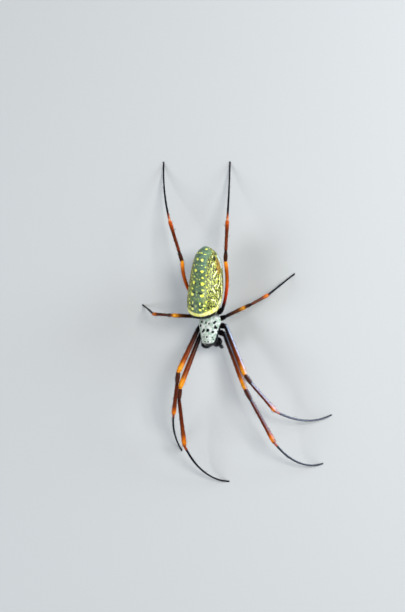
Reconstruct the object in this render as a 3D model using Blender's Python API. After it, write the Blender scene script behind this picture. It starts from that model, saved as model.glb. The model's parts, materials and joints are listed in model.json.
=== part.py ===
"""A golden silk orb weaver, life size, standing still on its eight feet.

The head faces -Y, the back faces +Z and the left side is +X. Sizes are in millimetres and become
metres where the vertices are placed. The floor is at height zero.
"""
from math import acos, atan2, cos, pi, radians, sin

import bmesh
import bpy
import numpy as np
from mathutils import Matrix, Vector
from mathutils.bvhtree import BVHTree

MM = 0.001
SIDES = {"left": 1, "right": -1}
GAP = 0.26
SMALL_GAP = 0.08
LIMB_SIDES = 12
BODY_SIDES = 32
SMOOTH_BELOW = radians(50)

# Head and thorax, as stations from the rear to the front.
THORAX_REAR = 3.4
THORAX_FRONT = -7.45
THORAX_RINGS = 23
THORAX_Y = (-7.45, -7.3, -6.95, -6.3, -5.0, -3.6, -2.4, -0.6, 1.2, 2.6, 3.4)
THORAX_HALF_WIDTH = (1.6, 2.35, 2.72, 2.88, 3.02, 3.36, 3.8, 3.95, 3.6, 2.7, 1.4)
THORAX_TOP = (10.8, 11.2, 11.7, 12.0, 12.15, 11.8, 11.3, 11.55, 11.3, 10.5, 9.7)
THORAX_RIM = (9.9, 9.6, 9.35, 9.3, 9.4, 9.5, 9.5, 9.5, 9.5, 9.4, 9.2)
UNDERSIDE_Y = (-7.45, -5.6, -4.75, -4.2, -3.0, -0.5, 1.5, 2.6, 3.4)
UNDERSIDE_HALF_WIDTH = (1.3, 1.9, 1.5, 1.85, 2.1, 2.25, 1.85, 1.25, 0.8)
UNDERSIDE_Z = (8.9, 8.3, 7.6, 6.5, 6.3, 6.3, 6.35, 6.8, 8.2)
# The fore body is turned a little to its right: sideways shift for each unit ahead of its rear.
HEAD_TURN = 0.05

# Abdomen, from the front pole to the rear pole.
ABDOMEN_FRONT = 1.15
ABDOMEN_LENGTH = 24.35
ABDOMEN_FRONT_Z = 15.0
ABDOMEN_SLOPE = 3.1
ABDOMEN_LIFT = 2.1
ABDOMEN_LIFT_FROM = 0.72
ABDOMEN_FRONT_ASIDE = -0.9
ABDOMEN_ASIDE = 0.25
ABDOMEN_HALF_WIDTH = 5.78
ABDOMEN_RISE = 7.3
ABDOMEN_DROP = 6.8
ABDOMEN_WIDEST = 0.4
ABDOMEN_TAPER = 0.2
ABDOMEN_SHOULDER = 3.0
ABDOMEN_UNDERCUT = 1.6
# How much narrower the section is toward its bottom, at the front and at the rear.
ABDOMEN_KEEL = (0.06, 0.12)
ABDOMEN_RINGS = 25

# Joint positions on the left: where each coxa leaves the body and where its femur begins.
COXA_ROOT = {1: (2.45, -3.3, 7.2), 2: (2.6, -1.15, 7.15), 3: (2.4, 1.05, 7.15), 4: (1.75, 3.0, 7.25)}
FEMUR_ROOT = {1: (4.4, -4.1, 8.0), 2: (4.8, -1.4, 8.0), 3: (4.7, 1.9, 8.0), 4: (3.6, 4.5, 8.0)}
GIRTH = {1: 1.0, 2: 0.98, 3: 0.76, 4: 0.84}

# Lengths of femur, patella, tibia and foot (metatarsus with tarsus) of each leg.
LENGTHS = {
    (1, "left"): (21.0, 4.3, 16.3, 19.3),
    (1, "right"): (19.7, 4.3, 16.5, 20.7),
    (2, "left"): (18.8, 4.0, 12.6, 19.3),
    (2, "right"): (18.8, 3.9, 12.5, 18.6),
    (3, "left"): (9.7, 3.0, 7.3, 12.0),
    (3, "right"): (9.7, 3.0, 7.3, 12.1),
    (4, "left"): (17.4, 4.0, 12.9, 22.3),
    (4, "right"): (17.6, 4.0, 13.0, 22.7),
}
# Headings in degrees: azimuth from straight ahead toward the left side, then elevation.
# The foot turns from its first heading to its last, and on the front legs most of it near the tip.
POSE = {
    (1, "left"): ((27, 12), (33, 10), (26, -13), (27, -38), (110, -19)),
    (1, "right"): ((-15, 19), (-15, -22), (1, -14), (16, -30), (88, -20)),
    (2, "left"): ((28, 12), (44, 16), (36, -23), (58, -30), (119, -19)),
    (2, "right"): ((-12, 34), (-9, -5), (-19, -26), (-38, -51), (19, -36)),
    (3, "left"): ((111, 17), (107, 33), (128, -45), (140, -44), (134, -33)),
    (3, "right"): ((-93, 36), (-92, -35), (-93, -25), (-111, -52), (-111, -42)),
    (4, "left"): ((167, 21), (162, 33), (192, -32), (190, -30), (187, -20)),
    (4, "right"): ((-163, 21), (-150, -26), (-154, -18), (-153, -25), (-174, -18)),
}
FOOT_TURN = {1: 1.45, 2: 1.25, 3: 1.0, 4: 1.0}
# How far each femur bows sideways, away from the abdomen, and upward.
BOW = {4: (1.5, 0.95)}

# Radius along each segment, as (fraction of its length, radius).
COXA_PROFILE = ((0.0, 0.62), (0.16, 0.84), (0.42, 0.88), (0.58, 0.7), (0.74, 0.78), (1.0, 0.62))
FEMUR_PROFILE = (
    (0.0, 0.6), (0.06, 0.68), (0.22, 0.74), (0.46, 0.78),
    (0.7, 0.84), (0.87, 0.86), (0.96, 0.78), (1.0, 0.66),
)
PATELLA_PROFILE = ((0.0, 0.62), (0.2, 0.76), (0.5, 0.79), (0.8, 0.7))
TIBIA_PROFILE = (
    (0.0, 0.5), (0.08, 0.6), (0.34, 0.62), (0.64, 0.66), (0.82, 0.76), (0.94, 0.74), (1.0, 0.56),
)
FOOT_PROFILE = (
    (0.0, 0.36), (0.035, 0.42), (0.09, 0.37), (0.25, 0.34), (0.42, 0.32),
    (0.6, 0.3), (0.66, 0.27), (0.78, 0.27), (0.9, 0.26), (1.0, 0.26),
)
SOLE_RADIUS = 0.3
FOOT_STEPS = 60

CHELICERA_PATH = (
    (1.2, -6.65, 8.15), (1.27, -6.95, 7.6), (1.3, -7.2, 6.6), (1.28, -7.2, 5.5), (1.12, -7.05, 4.5),
)
CHELICERA_RADIUS = (0.86, 1.05, 1.12, 1.05, 0.74)
FANG_PATH = ((1.0, -7.05, 4.15), (0.86, -7.17, 3.75), (0.62, -7.0, 3.35), (0.36, -6.6, 3.2))
FANG_RADIUS = (0.42, 0.36, 0.26, 0.1)
PALP_FEMUR_PATH = (
    (1.3, -5.45, 6.95), (1.95, -5.55, 7.0), (2.7, -5.8, 7.25), (3.15, -6.5, 7.6), (3.25, -7.25, 7.7),
)
PALP_FEMUR_RADIUS = (0.44, 0.58, 0.54, 0.6, 0.52)
PALP_TIP_PATH = (
    (3.22, -7.58, 7.55), (3.15, -8.05, 7.05), (3.02, -8.32, 6.2),
    (2.85, -8.42, 5.3), (2.6, -8.4, 4.5), (2.3, -8.3, 3.75),
)
PALP_TIP_RADIUS = (0.48, 0.52, 0.45, 0.48, 0.46, 0.2)
PEDICEL_ROOT = (0.0, 3.66, 8.95)
PEDICEL_SLANT = (0.0, 0.86, 0.5)
PEDICEL_RADIUS = (0.55, 0.5, 0.66)

SPINNERET_Y = 20.2
SPINNERET_MOUND = 1.35
MOUND_SIDES = 16
SMALL_SIDES = 8
# Offset sideways and back from the middle of the mound, tilt out and back in degrees, length, radius.
SPINNERETS = (
    (0.58, -0.5, 14, -18, 1.45, 0.46),
    (0.6, 0.55, 14, 22, 1.3, 0.42),
    (0.24, 0.05, 4, 0, 0.95, 0.26),
)
ANAL_TUBERCLE = (0.0, 1.15, 0, 30, 0.75, 0.4)

# Eyes: distance from the midline and height, or distance back, and radius.
FRONT_EYES = {"anterior_median": (0.42, 10.3, 0.25), "anterior_lateral": (1.95, 9.95, 0.2)}
TOP_EYES = {"posterior_median": (0.55, -6.8, 0.25), "posterior_lateral": (2.1, -6.6, 0.2)}
CLEAR_AHEAD = 3.5

FINISHES = {
    "silver_grey": ((0.42, 0.45, 0.43), 0.6, 0.0),
    "olive": ((0.16, 0.17, 0.09), 0.45, 0.0),
    "black": ((0.012, 0.013, 0.018), 0.22, 0.0),
    "eye": ((0.006, 0.006, 0.008), 0.06, 0.0),
    "red_brown": ((0.2, 0.04, 0.012), 0.3, 0.0),
    "orange_red": ((0.42, 0.1, 0.015), 0.32, 0.0),
    "brown": ((0.1, 0.035, 0.016), 0.4, 0.0),
}


def material(finish, name):
    colour, roughness, metallic = FINISHES[finish]
    made = bpy.data.materials.new(name)
    made.use_nodes = True
    shader = made.node_tree.nodes["Principled BSDF"]
    shader.inputs["Base Color"].default_value = (*colour, 1.0)
    shader.inputs["Roughness"].default_value = roughness
    shader.inputs["Metallic"].default_value = metallic
    return made


def body_from(bm, name, finish, at):
    """Turns the bmesh, in millimetres, into a named object whose origin is at the given point."""
    bmesh.ops.recalc_face_normals(bm, faces=bm.faces)
    if bm.calc_volume(signed=True) < 0:
        bmesh.ops.reverse_faces(bm, faces=bm.faces)
    bmesh.ops.translate(bm, verts=bm.verts, vec=-Vector(at))
    bmesh.ops.scale(bm, verts=bm.verts, vec=(MM, MM, MM))
    mesh = bpy.data.meshes.new(name)
    bm.to_mesh(mesh)
    bm.free()
    mesh.materials.append(material(finish, name + "_finish"))
    mesh.shade_smooth()
    mesh.set_sharp_from_angle(angle=SMOOTH_BELOW)
    made = bpy.data.objects.new(name, mesh)
    made.location = Vector(at) * MM
    bpy.context.scene.collection.objects.link(made)
    return made


def drawn_out(rings, sides, point_at):
    """A closed body: the parallels of a sphere are moved to its rings and the poles to its two ends."""
    bm = bmesh.new()
    bmesh.ops.create_uvsphere(bm, u_segments=sides, v_segments=rings + 1, radius=1.0)
    for vertex in bm.verts:
        step = round(acos(max(-1.0, min(1.0, vertex.co.z))) / pi * (rings + 1))
        vertex.co = point_at(step, atan2(vertex.co.y, vertex.co.x))
    return bm


def heading(azimuth, elevation):
    azimuth = radians(azimuth)
    elevation = radians(elevation)
    return Vector((cos(elevation) * sin(azimuth), -cos(elevation) * cos(azimuth), sin(elevation)))


def station(centre, axis, radius, face=None, reference=None):
    """One ring of a limb. A face direction cuts the ring along a plane that isn't square to the limb."""
    axis = Vector(axis).normalized()
    face = axis if face is None else Vector(face).normalized()
    return Vector(centre), axis, radius, face, reference


def limb(name, stations, finish, at, sides=LIMB_SIDES, reference=(0.0, 0.0, 1.0)):
    """A limb of round rings. Each end is flat."""

    def point_at(step, turn):
        index = min(max(step - 1, 0), len(stations) - 1)
        centre, axis, radius, face, own_reference = stations[index]
        if step in (0, len(stations) + 1):
            return centre
        across = axis.cross(own_reference or Vector(reference)).normalized()
        over = across.cross(axis)
        spoke = across * (radius * cos(turn)) + over * (radius * sin(turn))
        return centre + spoke - axis * (spoke.dot(face) / axis.dot(face))

    return body_from(drawn_out(len(stations), sides, point_at), name, finish, at)


def along(path, radii):
    """Stations on a path of points, square to it."""
    points = [Vector(p) for p in path]
    made = []
    for index, point in enumerate(points):
        before = points[max(index - 1, 0)]
        after = points[min(index + 1, len(points) - 1)]
        made.append(station(point, after - before, radii[index]))
    return made


def turned(point):
    """The place of a point of the fore body once it is turned a little to its right."""
    return Vector((point[0] + HEAD_TURN * min(0.0, point[1] - THORAX_REAR), point[1], point[2]))


def mirrored(path, side):
    return tuple(turned((SIDES[side] * x, y, z)) for x, y, z in path)


# Head and thorax: a domed shield above, the breastplate below, the leg bases in the groove between.
def thorax_point(step, turn):
    fraction = (step - 1) / (THORAX_RINGS - 1)
    fraction = min(max(fraction, 0.0), 1.0)
    y = THORAX_REAR + (THORAX_FRONT - THORAX_REAR) * (1 - (1 - fraction) ** 1.25)
    half_width = float(np.interp(y, THORAX_Y, THORAX_HALF_WIDTH))
    top = float(np.interp(y, THORAX_Y, THORAX_TOP))
    rim = float(np.interp(y, THORAX_Y, THORAX_RIM))
    lower_half = float(np.interp(y, UNDERSIDE_Y, UNDERSIDE_HALF_WIDTH))
    lower = float(np.interp(y, UNDERSIDE_Y, UNDERSIDE_Z))
    if step in (0, THORAX_RINGS + 1):
        return turned((0.0, y, 0.5 * (top + lower)))
    if turn >= 0:
        return turned((half_width * cos(turn), y, rim + (top - rim) * sin(turn)))
    inward = abs(turn + pi / 2) / (pi / 2)
    side = 1 if turn > -pi / 2 else -1
    edge = min(lower_half + 0.15, 0.9 * half_width)
    reach = (0.0, 0.34, 0.5, 0.66, 0.84, 1.0)
    across = (0.0, 0.85 * lower_half, lower_half, edge, 0.94 * half_width, half_width)
    ledge = min(rim - 0.3, max(rim - 0.75, lower + 0.5 * (rim - lower)))
    deep = rim - lower
    height = (lower, lower + 0.12 * deep, lower + 0.4 * deep, ledge, max(ledge, rim - 0.5), rim)
    aside = side * float(np.interp(inward, reach, across))
    return turned((aside, y, float(np.interp(inward, reach, height))))


# Abdomen: an egg, blunt in front and cut under there for the waist, tapering to the rear.
def abdomen_middle(fraction):
    lifted = max(0.0, (fraction - ABDOMEN_LIFT_FROM) / (1 - ABDOMEN_LIFT_FROM)) ** 2
    return ABDOMEN_FRONT_Z - ABDOMEN_SLOPE * fraction + ABDOMEN_LIFT * lifted


def abdomen_swell(fraction, shoulder):
    if fraction < ABDOMEN_WIDEST:
        before = 1 - fraction / ABDOMEN_WIDEST
        return max(0.0, 1 - before ** shoulder) ** (1 / shoulder)
    after = (fraction - ABDOMEN_WIDEST) / (1 - ABDOMEN_WIDEST)
    return (1 - ABDOMEN_TAPER * after) * max(0.0, 1 - after ** 5) ** 0.7


def abdomen_point(step, turn):
    fraction = 0.5 * (1 - cos(pi * step / (ABDOMEN_RINGS + 1)))
    y = ABDOMEN_FRONT + ABDOMEN_LENGTH * fraction
    middle = abdomen_middle(fraction)
    half_width = ABDOMEN_HALF_WIDTH * abdomen_swell(fraction, ABDOMEN_SHOULDER)
    if turn >= 0:
        height = ABDOMEN_RISE * abdomen_swell(fraction, ABDOMEN_SHOULDER)
    else:
        height = ABDOMEN_DROP * abdomen_swell(fraction, ABDOMEN_UNDERCUT)
        keel = ABDOMEN_KEEL[0] + (ABDOMEN_KEEL[1] - ABDOMEN_KEEL[0]) * fraction
        half_width *= 1 + keel * sin(turn)
    aside = ABDOMEN_ASIDE * sin(pi * fraction) + ABDOMEN_FRONT_ASIDE * (1 - fraction) ** 3
    return Vector((aside + half_width * cos(turn), y, middle + height * sin(turn)))


def seat(tree, start, way):
    """The point of a surface met from a start along a way, and the surface's outward direction there."""
    point, normal, _, _ = tree.ray_cast(Vector(start), Vector(way).normalized())
    return point, normal


def dome(name, tree, start, way, radius, finish):
    """A small dome standing on a surface."""
    point, normal = seat(tree, start, way)
    foot = point + normal * SMALL_GAP
    rings = ((0.0, 1.0), (0.42, 0.93), (0.75, 0.68), (0.95, 0.32))
    stations = [station(foot + normal * (radius * rise), normal, radius * share) for rise, share in rings]
    return limb(name, stations, finish, foot, sides=SMALL_SIDES, reference=(1.0, 0.0, 0.1))


def leg_corners(number, side):
    """The joints of a leg, from the body to the end of the tibia."""
    x, y, z = FEMUR_ROOT[number]
    corners = [mirrored([COXA_ROOT[number]], side)[0], Vector((SIDES[side] * x, y, z))]
    for length, angles in zip(LENGTHS[number, side][:3], POSE[number, side][:3]):
        corners.append(corners[-1] + length * heading(*angles))
    return corners


def foot_path(start, length, first, last, turn):
    """Points and headings along a foot whose sole ends at the floor. The slope is corrected to reach it."""
    low, high = -30.0, 30.0
    for _ in range(40):
        lean = 0.5 * (low + high)
        points = [start]
        headings = []
        for step in range(FOOT_STEPS):
            share = (step + 0.5) / FOOT_STEPS
            azimuth = first[0] + (last[0] - first[0]) * share ** turn
            way = heading(azimuth, first[1] + (last[1] - first[1]) * share + lean)
            headings.append(way)
            points.append(points[-1] + way * (length / FOOT_STEPS))
        if points[-1].z > 0:
            high = lean
        else:
            low = lean
    headings.append(headings[-1])
    return points, headings


def straight(start, end, profile, girth, bow=(0.0, 0.0)):
    """Stations along a segment that may bow sideways and upward."""
    way = end - start
    sideways = Vector((-way.y, way.x, 0.0)).normalized()
    if sideways.x * start.x < 0:
        sideways.negate()
    bulge = sideways * bow[0] + Vector((0.0, 0.0, bow[1]))
    made = []
    for fraction, radius in profile:
        centre = start + way * fraction + bulge * (4 * fraction * (1 - fraction))
        axis = way + bulge * (4 * (1 - 2 * fraction))
        made.append(station(centre, axis, radius * girth))
    return made


def cut_end(stations, index, corner, face, offset):
    """Moves an end ring onto a plane beside the joint, so that two limbs meet face to face."""
    centre, axis, radius, _, _ = stations[index]
    plane = corner + face * offset
    centre = centre + axis * ((plane - centre).dot(face) / axis.dot(face))
    stations[index] = station(centre, axis, radius, face)


def leg(number, side):
    girth = GIRTH[number]
    root, hip, knee, shin, ankle = leg_corners(number, side)
    pose = POSE[number, side]
    points, headings = foot_path(ankle, LENGTHS[number, side][3], pose[3], pose[4], FOOT_TURN[number])
    coxa = straight(root, hip, COXA_PROFILE, girth ** 0.5)
    femur = straight(hip, knee, FEMUR_PROFILE, girth, BOW.get(number, (0.0, 0.0)))
    patella = straight(knee, shin, PATELLA_PROFILE, girth)
    tibia = straight(shin, ankle, TIBIA_PROFILE, girth)
    tibia[0] = station(shin, patella[0][1] + tibia[0][1], tibia[0][2])
    foot = []
    for fraction, radius in FOOT_PROFILE:
        index = round(fraction * FOOT_STEPS)
        foot.append(station(points[index], headings[index], radius * max(girth, 0.94)))
    sole = points[-1]
    ahead = Vector((headings[-1].x, headings[-1].y, 0.0))
    foot[-1] = station(sole, (0.0, 0.0, -1.0), SOLE_RADIUS, reference=ahead)
    joints = ((coxa, femur, hip), (femur, patella, knee), (tibia, foot, ankle))
    for before, after, corner in joints:
        face = (before[-1][1] + after[0][1]).normalized()
        cut_end(before, -1, corner, face, -GAP / 2)
        cut_end(after, 0, corner, face, GAP / 2)
    stem = "leg_%d_%s_" % (number, side)
    dark = {1: "red_brown", 2: "red_brown", 3: "brown", 4: "orange_red"}[number]
    limb(stem + "coxa", coxa, "black", root)
    limb(stem + "femur", femur, dark, hip)
    limb(stem + "tibia", patella + tibia, dark, knee)
    limb(stem + "metatarsus", foot, "black", ankle)


def joined(base, pieces):
    """Fuses the pieces into the base and keeps the largest closed surface."""
    group = bpy.data.collections.new("to_join")
    bpy.context.scene.collection.children.link(group)
    for piece in pieces:
        bpy.context.scene.collection.objects.unlink(piece)
        group.objects.link(piece)
    union = base.modifiers.new("union", "BOOLEAN")
    union.operation = "UNION"
    union.operand_type = "COLLECTION"
    union.collection = group
    union.solver = "EXACT"
    bpy.context.view_layer.update()
    graph = bpy.context.evaluated_depsgraph_get()
    fused = bpy.data.meshes.new_from_object(base.evaluated_get(graph))
    base.modifiers.remove(union)
    old = base.data
    base.data = fused
    bpy.data.meshes.remove(old)
    for piece in pieces:
        bpy.data.objects.remove(piece)
    bpy.data.collections.remove(group)
    keep_largest(fused)


def keep_largest(mesh):
    bm = bmesh.new()
    bm.from_mesh(mesh)
    left = set(bm.faces)
    shells = []
    while left:
        stack = [left.pop()]
        shell = list(stack)
        while stack:
            face = stack.pop()
            for edge in face.edges:
                for other in edge.link_faces:
                    if other in left:
                        left.discard(other)
                        stack.append(other)
                        shell.append(other)
        shells.append(shell)
    shells.sort(key=len)
    for shell in shells[:-1]:
        bmesh.ops.delete(bm, geom=shell, context="FACES")
    bm.to_mesh(mesh)
    bm.free()


def cone(name, foot, way, length, radius, sink, finish):
    way = Vector(way).normalized()
    rings = ((-sink / length, 1.0), (0.3, 0.96), (0.72, 0.78), (0.95, 0.5))
    stations = [station(foot + way * (length * rise), way, radius * share) for rise, share in rings]
    return limb(name, stations, finish, foot, sides=SMALL_SIDES, reference=(1.0, 0.0, 0.1))


def spinnerets(tree):
    point, normal = seat(tree, (0.0, SPINNERET_Y, 0.0), (0.0, 0.0, 1.0))
    foot = point + normal * GAP
    back = Vector((0.0, -normal.z, normal.y)).normalized()
    across = Vector((1.0, 0.0, 0.0))
    rings = ((0.0, 1.0), (0.2, 0.98), (0.45, 0.8))

    def mound_point(step, turn):
        rise, share = rings[min(max(step - 1, 0), len(rings) - 1)]
        reach = SPINNERET_MOUND * share if 0 < step <= len(rings) else 0.0
        spoke = (across * cos(turn) + back * sin(turn)) * reach
        if step > 1:
            return foot + spoke + normal * rise
        under, out = seat(tree, foot + spoke + normal * SPINNERET_MOUND, -normal)
        return under + out * GAP

    mound = body_from(drawn_out(len(rings), MOUND_SIDES, mound_point), "spinnerets", "brown", foot)
    pieces = []
    for sign in (1, -1):
        for aside, behind, out, rear, length, radius in SPINNERETS:
            start = foot + across * (sign * aside) + back * behind + normal * 0.3
            way = normal + across * (sign * sin(radians(out))) + back * sin(radians(rear))
            pieces.append(cone("spinneret", start, way, length, radius, 0.2, "brown"))
    _, behind, _, rear, length, radius = ANAL_TUBERCLE
    start = foot + back * behind + normal * 0.15
    way = normal + back * sin(radians(rear))
    pieces.append(cone("spinneret", start, way, length, radius, 0.1, "brown"))
    joined(mound, pieces)


def pedicel(tree):
    """The waist, from the rear of the thorax up to the underside of the abdomen."""
    root = Vector(PEDICEL_ROOT)
    point, normal = seat(tree, root, PEDICEL_SLANT)
    end = point + normal * GAP
    way = end - root
    first = station(root, way, PEDICEL_RADIUS[0], (0.0, 1.0, 0.0))
    middle = station(root + way * 0.45, way, PEDICEL_RADIUS[1])
    last = station(end, way, PEDICEL_RADIUS[2], -normal)
    limb("pedicel", [first, middle, last], "black", root)


def surface_of(bm):
    bmesh.ops.recalc_face_normals(bm, faces=bm.faces)
    if bm.calc_volume(signed=True) < 0:
        bmesh.ops.reverse_faces(bm, faces=bm.faces)
    return BVHTree.FromBMesh(bm)


def whole():
    thorax = drawn_out(THORAX_RINGS, BODY_SIDES, thorax_point)
    shield = surface_of(thorax)
    body_from(thorax, "cephalothorax", "silver_grey", (0.0, 0.0, 9.0))
    abdomen = drawn_out(ABDOMEN_RINGS, BODY_SIDES, abdomen_point)
    belly = surface_of(abdomen)
    body_from(abdomen, "abdomen", "olive", (0.0, ABDOMEN_FRONT, ABDOMEN_FRONT_Z))
    pedicel(belly)
    spinnerets(belly)
    for side, sign in SIDES.items():
        for name, (aside, height, radius) in FRONT_EYES.items():
            x = turned((sign * aside, THORAX_FRONT, height)).x
            start = (x, THORAX_FRONT - CLEAR_AHEAD, height)
            dome("eye_%s_%s" % (name, side), shield, start, (0.0, 1.0, 0.0), radius, "eye")
        for name, (aside, y, radius) in TOP_EYES.items():
            x = turned((sign * aside, y, 0.0)).x
            start = (x, y - CLEAR_AHEAD, max(THORAX_TOP) + CLEAR_AHEAD)
            dome("eye_%s_%s" % (name, side), shield, start, (0.0, 1.0, -1.0), radius, "eye")
        upright = (0.0, 1.0, 0.0)
        path = mirrored(CHELICERA_PATH, side)
        limb("chelicera_" + side, along(path, CHELICERA_RADIUS), "black", path[0], LIMB_SIDES, upright)
        path = mirrored(FANG_PATH, side)
        limb("fang_" + side, along(path, FANG_RADIUS), "black", path[0], SMALL_SIDES, upright)
        path = mirrored(PALP_FEMUR_PATH, side)
        limb("palp_femur_" + side, along(path, PALP_FEMUR_RADIUS), "black", path[0])
        path = mirrored(PALP_TIP_PATH, side)
        limb("palp_tip_" + side, along(path, PALP_TIP_RADIUS), "black", path[0], LIMB_SIDES, upright)
        for number in FEMUR_ROOT:
            leg(number, side)


def centred():
    """Moves the whole animal so that the origin is under the middle of its bounding box."""
    low = Vector((1e9, 1e9, 1e9))
    high = -low
    bpy.context.view_layer.update()
    for piece in bpy.data.objects:
        for vertex in piece.data.vertices:
            point = piece.matrix_world @ vertex.co
            low = Vector(map(min, low, point))
            high = Vector(map(max, high, point))
    shift = Vector((-(low.x + high.x) / 2, -(low.y + high.y) / 2, 0.0))
    for piece in bpy.data.objects:
        piece.matrix_world = Matrix.Translation(shift) @ piece.matrix_world
    print("shift", tuple(round(v * 1000, 3) for v in shift), "low", low, "high", high)


for leftover in list(bpy.data.objects):
    bpy.data.objects.remove(leftover)
whole()
centred()
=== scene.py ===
import json
from math import acos, atan2, cos, exp, pi, radians, sin

import bmesh
import bpy
import numpy as np
from mathutils import Matrix, Vector
from mathutils.bvhtree import BVHTree

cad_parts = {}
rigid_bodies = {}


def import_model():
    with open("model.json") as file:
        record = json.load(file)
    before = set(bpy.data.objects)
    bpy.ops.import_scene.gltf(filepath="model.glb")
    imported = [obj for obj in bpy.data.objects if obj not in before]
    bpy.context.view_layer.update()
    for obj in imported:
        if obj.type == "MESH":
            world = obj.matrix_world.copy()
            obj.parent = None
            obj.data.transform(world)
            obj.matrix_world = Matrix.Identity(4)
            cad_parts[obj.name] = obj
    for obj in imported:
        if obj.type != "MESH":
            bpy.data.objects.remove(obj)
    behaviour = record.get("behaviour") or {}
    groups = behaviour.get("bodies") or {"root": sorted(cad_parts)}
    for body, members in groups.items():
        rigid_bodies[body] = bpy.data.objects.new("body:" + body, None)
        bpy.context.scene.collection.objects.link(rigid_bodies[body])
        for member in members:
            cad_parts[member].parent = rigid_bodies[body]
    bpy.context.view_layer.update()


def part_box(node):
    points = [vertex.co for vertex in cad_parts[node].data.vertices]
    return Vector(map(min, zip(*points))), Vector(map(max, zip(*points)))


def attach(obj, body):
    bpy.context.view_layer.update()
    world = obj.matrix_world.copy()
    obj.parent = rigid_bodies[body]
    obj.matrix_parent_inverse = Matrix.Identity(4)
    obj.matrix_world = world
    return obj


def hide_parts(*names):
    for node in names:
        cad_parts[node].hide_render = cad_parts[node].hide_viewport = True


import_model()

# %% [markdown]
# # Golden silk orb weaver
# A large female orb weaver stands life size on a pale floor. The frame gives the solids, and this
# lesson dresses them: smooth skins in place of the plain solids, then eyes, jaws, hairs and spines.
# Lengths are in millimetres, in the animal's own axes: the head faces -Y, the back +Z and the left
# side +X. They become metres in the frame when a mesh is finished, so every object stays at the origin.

MM = 0.001
SIDES = {"left": 1, "right": -1}
THORAX_FRONT = -7.45
thorax_low, thorax_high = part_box("cephalothorax")
ORIGIN = Vector((0.5 * (thorax_low.x + thorax_high.x), thorax_low.y - THORAX_FRONT * MM, 0.0))
print("animal's own origin in the frame, mm:", [round(v / MM, 3) for v in ORIGIN])

# %% [markdown]
# ## Closed skins from a sphere
# Nearly every part of this animal is a closed, rounded body: an egg, a tube or a cone. A sphere has
# the same net of faces as all of them. So each skin starts as a UV sphere, its parallels become the
# rings of the part and its poles the two ends. This keeps the mesh closed, and each point keeps
# two numbers for the finishes: where it lies along the part and how far round.


# %% Helpers for skins
def smooth_through(xs, ys):
    """A smooth curve through a few points that never swings past them."""
    xs = np.asarray(xs, float)
    ys = np.asarray(ys, float)
    slopes = np.diff(ys) / np.diff(xs)
    tangents = np.concatenate([slopes[:1], np.zeros(len(slopes) - 1), slopes[-1:]])
    for i in range(1, len(slopes)):
        if slopes[i - 1] * slopes[i] > 0:
            tangents[i] = 2 * slopes[i - 1] * slopes[i] / (slopes[i - 1] + slopes[i])

    def value(x):
        x = min(max(x, xs[0]), xs[-1])
        i = min(max(int(np.searchsorted(xs, x)) - 1, 0), len(slopes) - 1)
        width = xs[i + 1] - xs[i]
        t = (x - xs[i]) / width
        before = (1 + 2 * t) * (1 - t) ** 2 * ys[i] + t * (1 - t) ** 2 * width * tangents[i]
        after = t * t * (3 - 2 * t) * ys[i + 1] + t * t * (t - 1) * width * tangents[i + 1]
        return float(before + after)

    return value


def rising(value, start, width):
    """0 up to the start, 1 from a width beyond it, and a straight rise between."""
    return min(1.0, max(0.0, (value - start) / width))


def drawn_out(rings, sides, point_at):
    """A sphere drawn out along a part. point_at gives each point's place and three numbers to keep."""
    bm = bmesh.new()
    place = bm.verts.layers.float_vector.new("place")
    unwrap = bm.verts.layers.float_vector.new("unwrap")
    bmesh.ops.create_uvsphere(bm, u_segments=sides, v_segments=rings + 1, radius=1.0)
    for vertex in bm.verts:
        step = round(acos(max(-1.0, min(1.0, vertex.co.z))) / pi * (rings + 1))
        turn = atan2(vertex.co.y, vertex.co.x)
        vertex.co, vertex[place] = point_at(step, turn)
        vertex[unwrap] = (abs(turn) / pi, step / (rings + 1), 1.0 if turn < 0 else 0.0)
    bmesh.ops.recalc_face_normals(bm, faces=bm.faces)
    if bm.calc_volume(signed=True) < 0:
        bmesh.ops.reverse_faces(bm, faces=bm.faces)
    return bm


def placed(name, data):
    """A new object of the scene, left at the origin."""
    made = bpy.data.objects.new(name, data)
    bpy.context.scene.collection.objects.link(made)
    return made


def finished(bm, name, material, slot, *nodes):
    """The bmesh as an object of the frame: in metres, smooth, and in place of its plain nodes."""
    bmesh.ops.scale(bm, vec=(MM, MM, MM), verts=bm.verts)
    bmesh.ops.translate(bm, vec=ORIGIN, verts=bm.verts)
    mesh = bpy.data.meshes.new(name)
    bm.to_mesh(mesh)
    bm.free()
    mesh.shade_smooth()
    mesh.materials.append(material)
    made = placed(name, mesh)
    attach(made, "root")
    if nodes:
        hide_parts(*nodes)
    return made


def seat(tree, start, way):
    """The point of a skin met from a start along a way, and the skin's outward direction there."""
    point, normal, _, _ = tree.ray_cast(Vector(start), Vector(way).normalized())
    return point, normal


print("helpers ready")

# %% [markdown]
# ## Sums written as sums
# A finish is a Principled shader fed by a few nodes. In the editor every sum is a Math node with its
# wires. Here a small wrapper round a node's output lets a sum be written as one, such as
# clouds * 0.5 + 1, and each sign still makes its own Math node. Blender sees the same tree.


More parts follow.
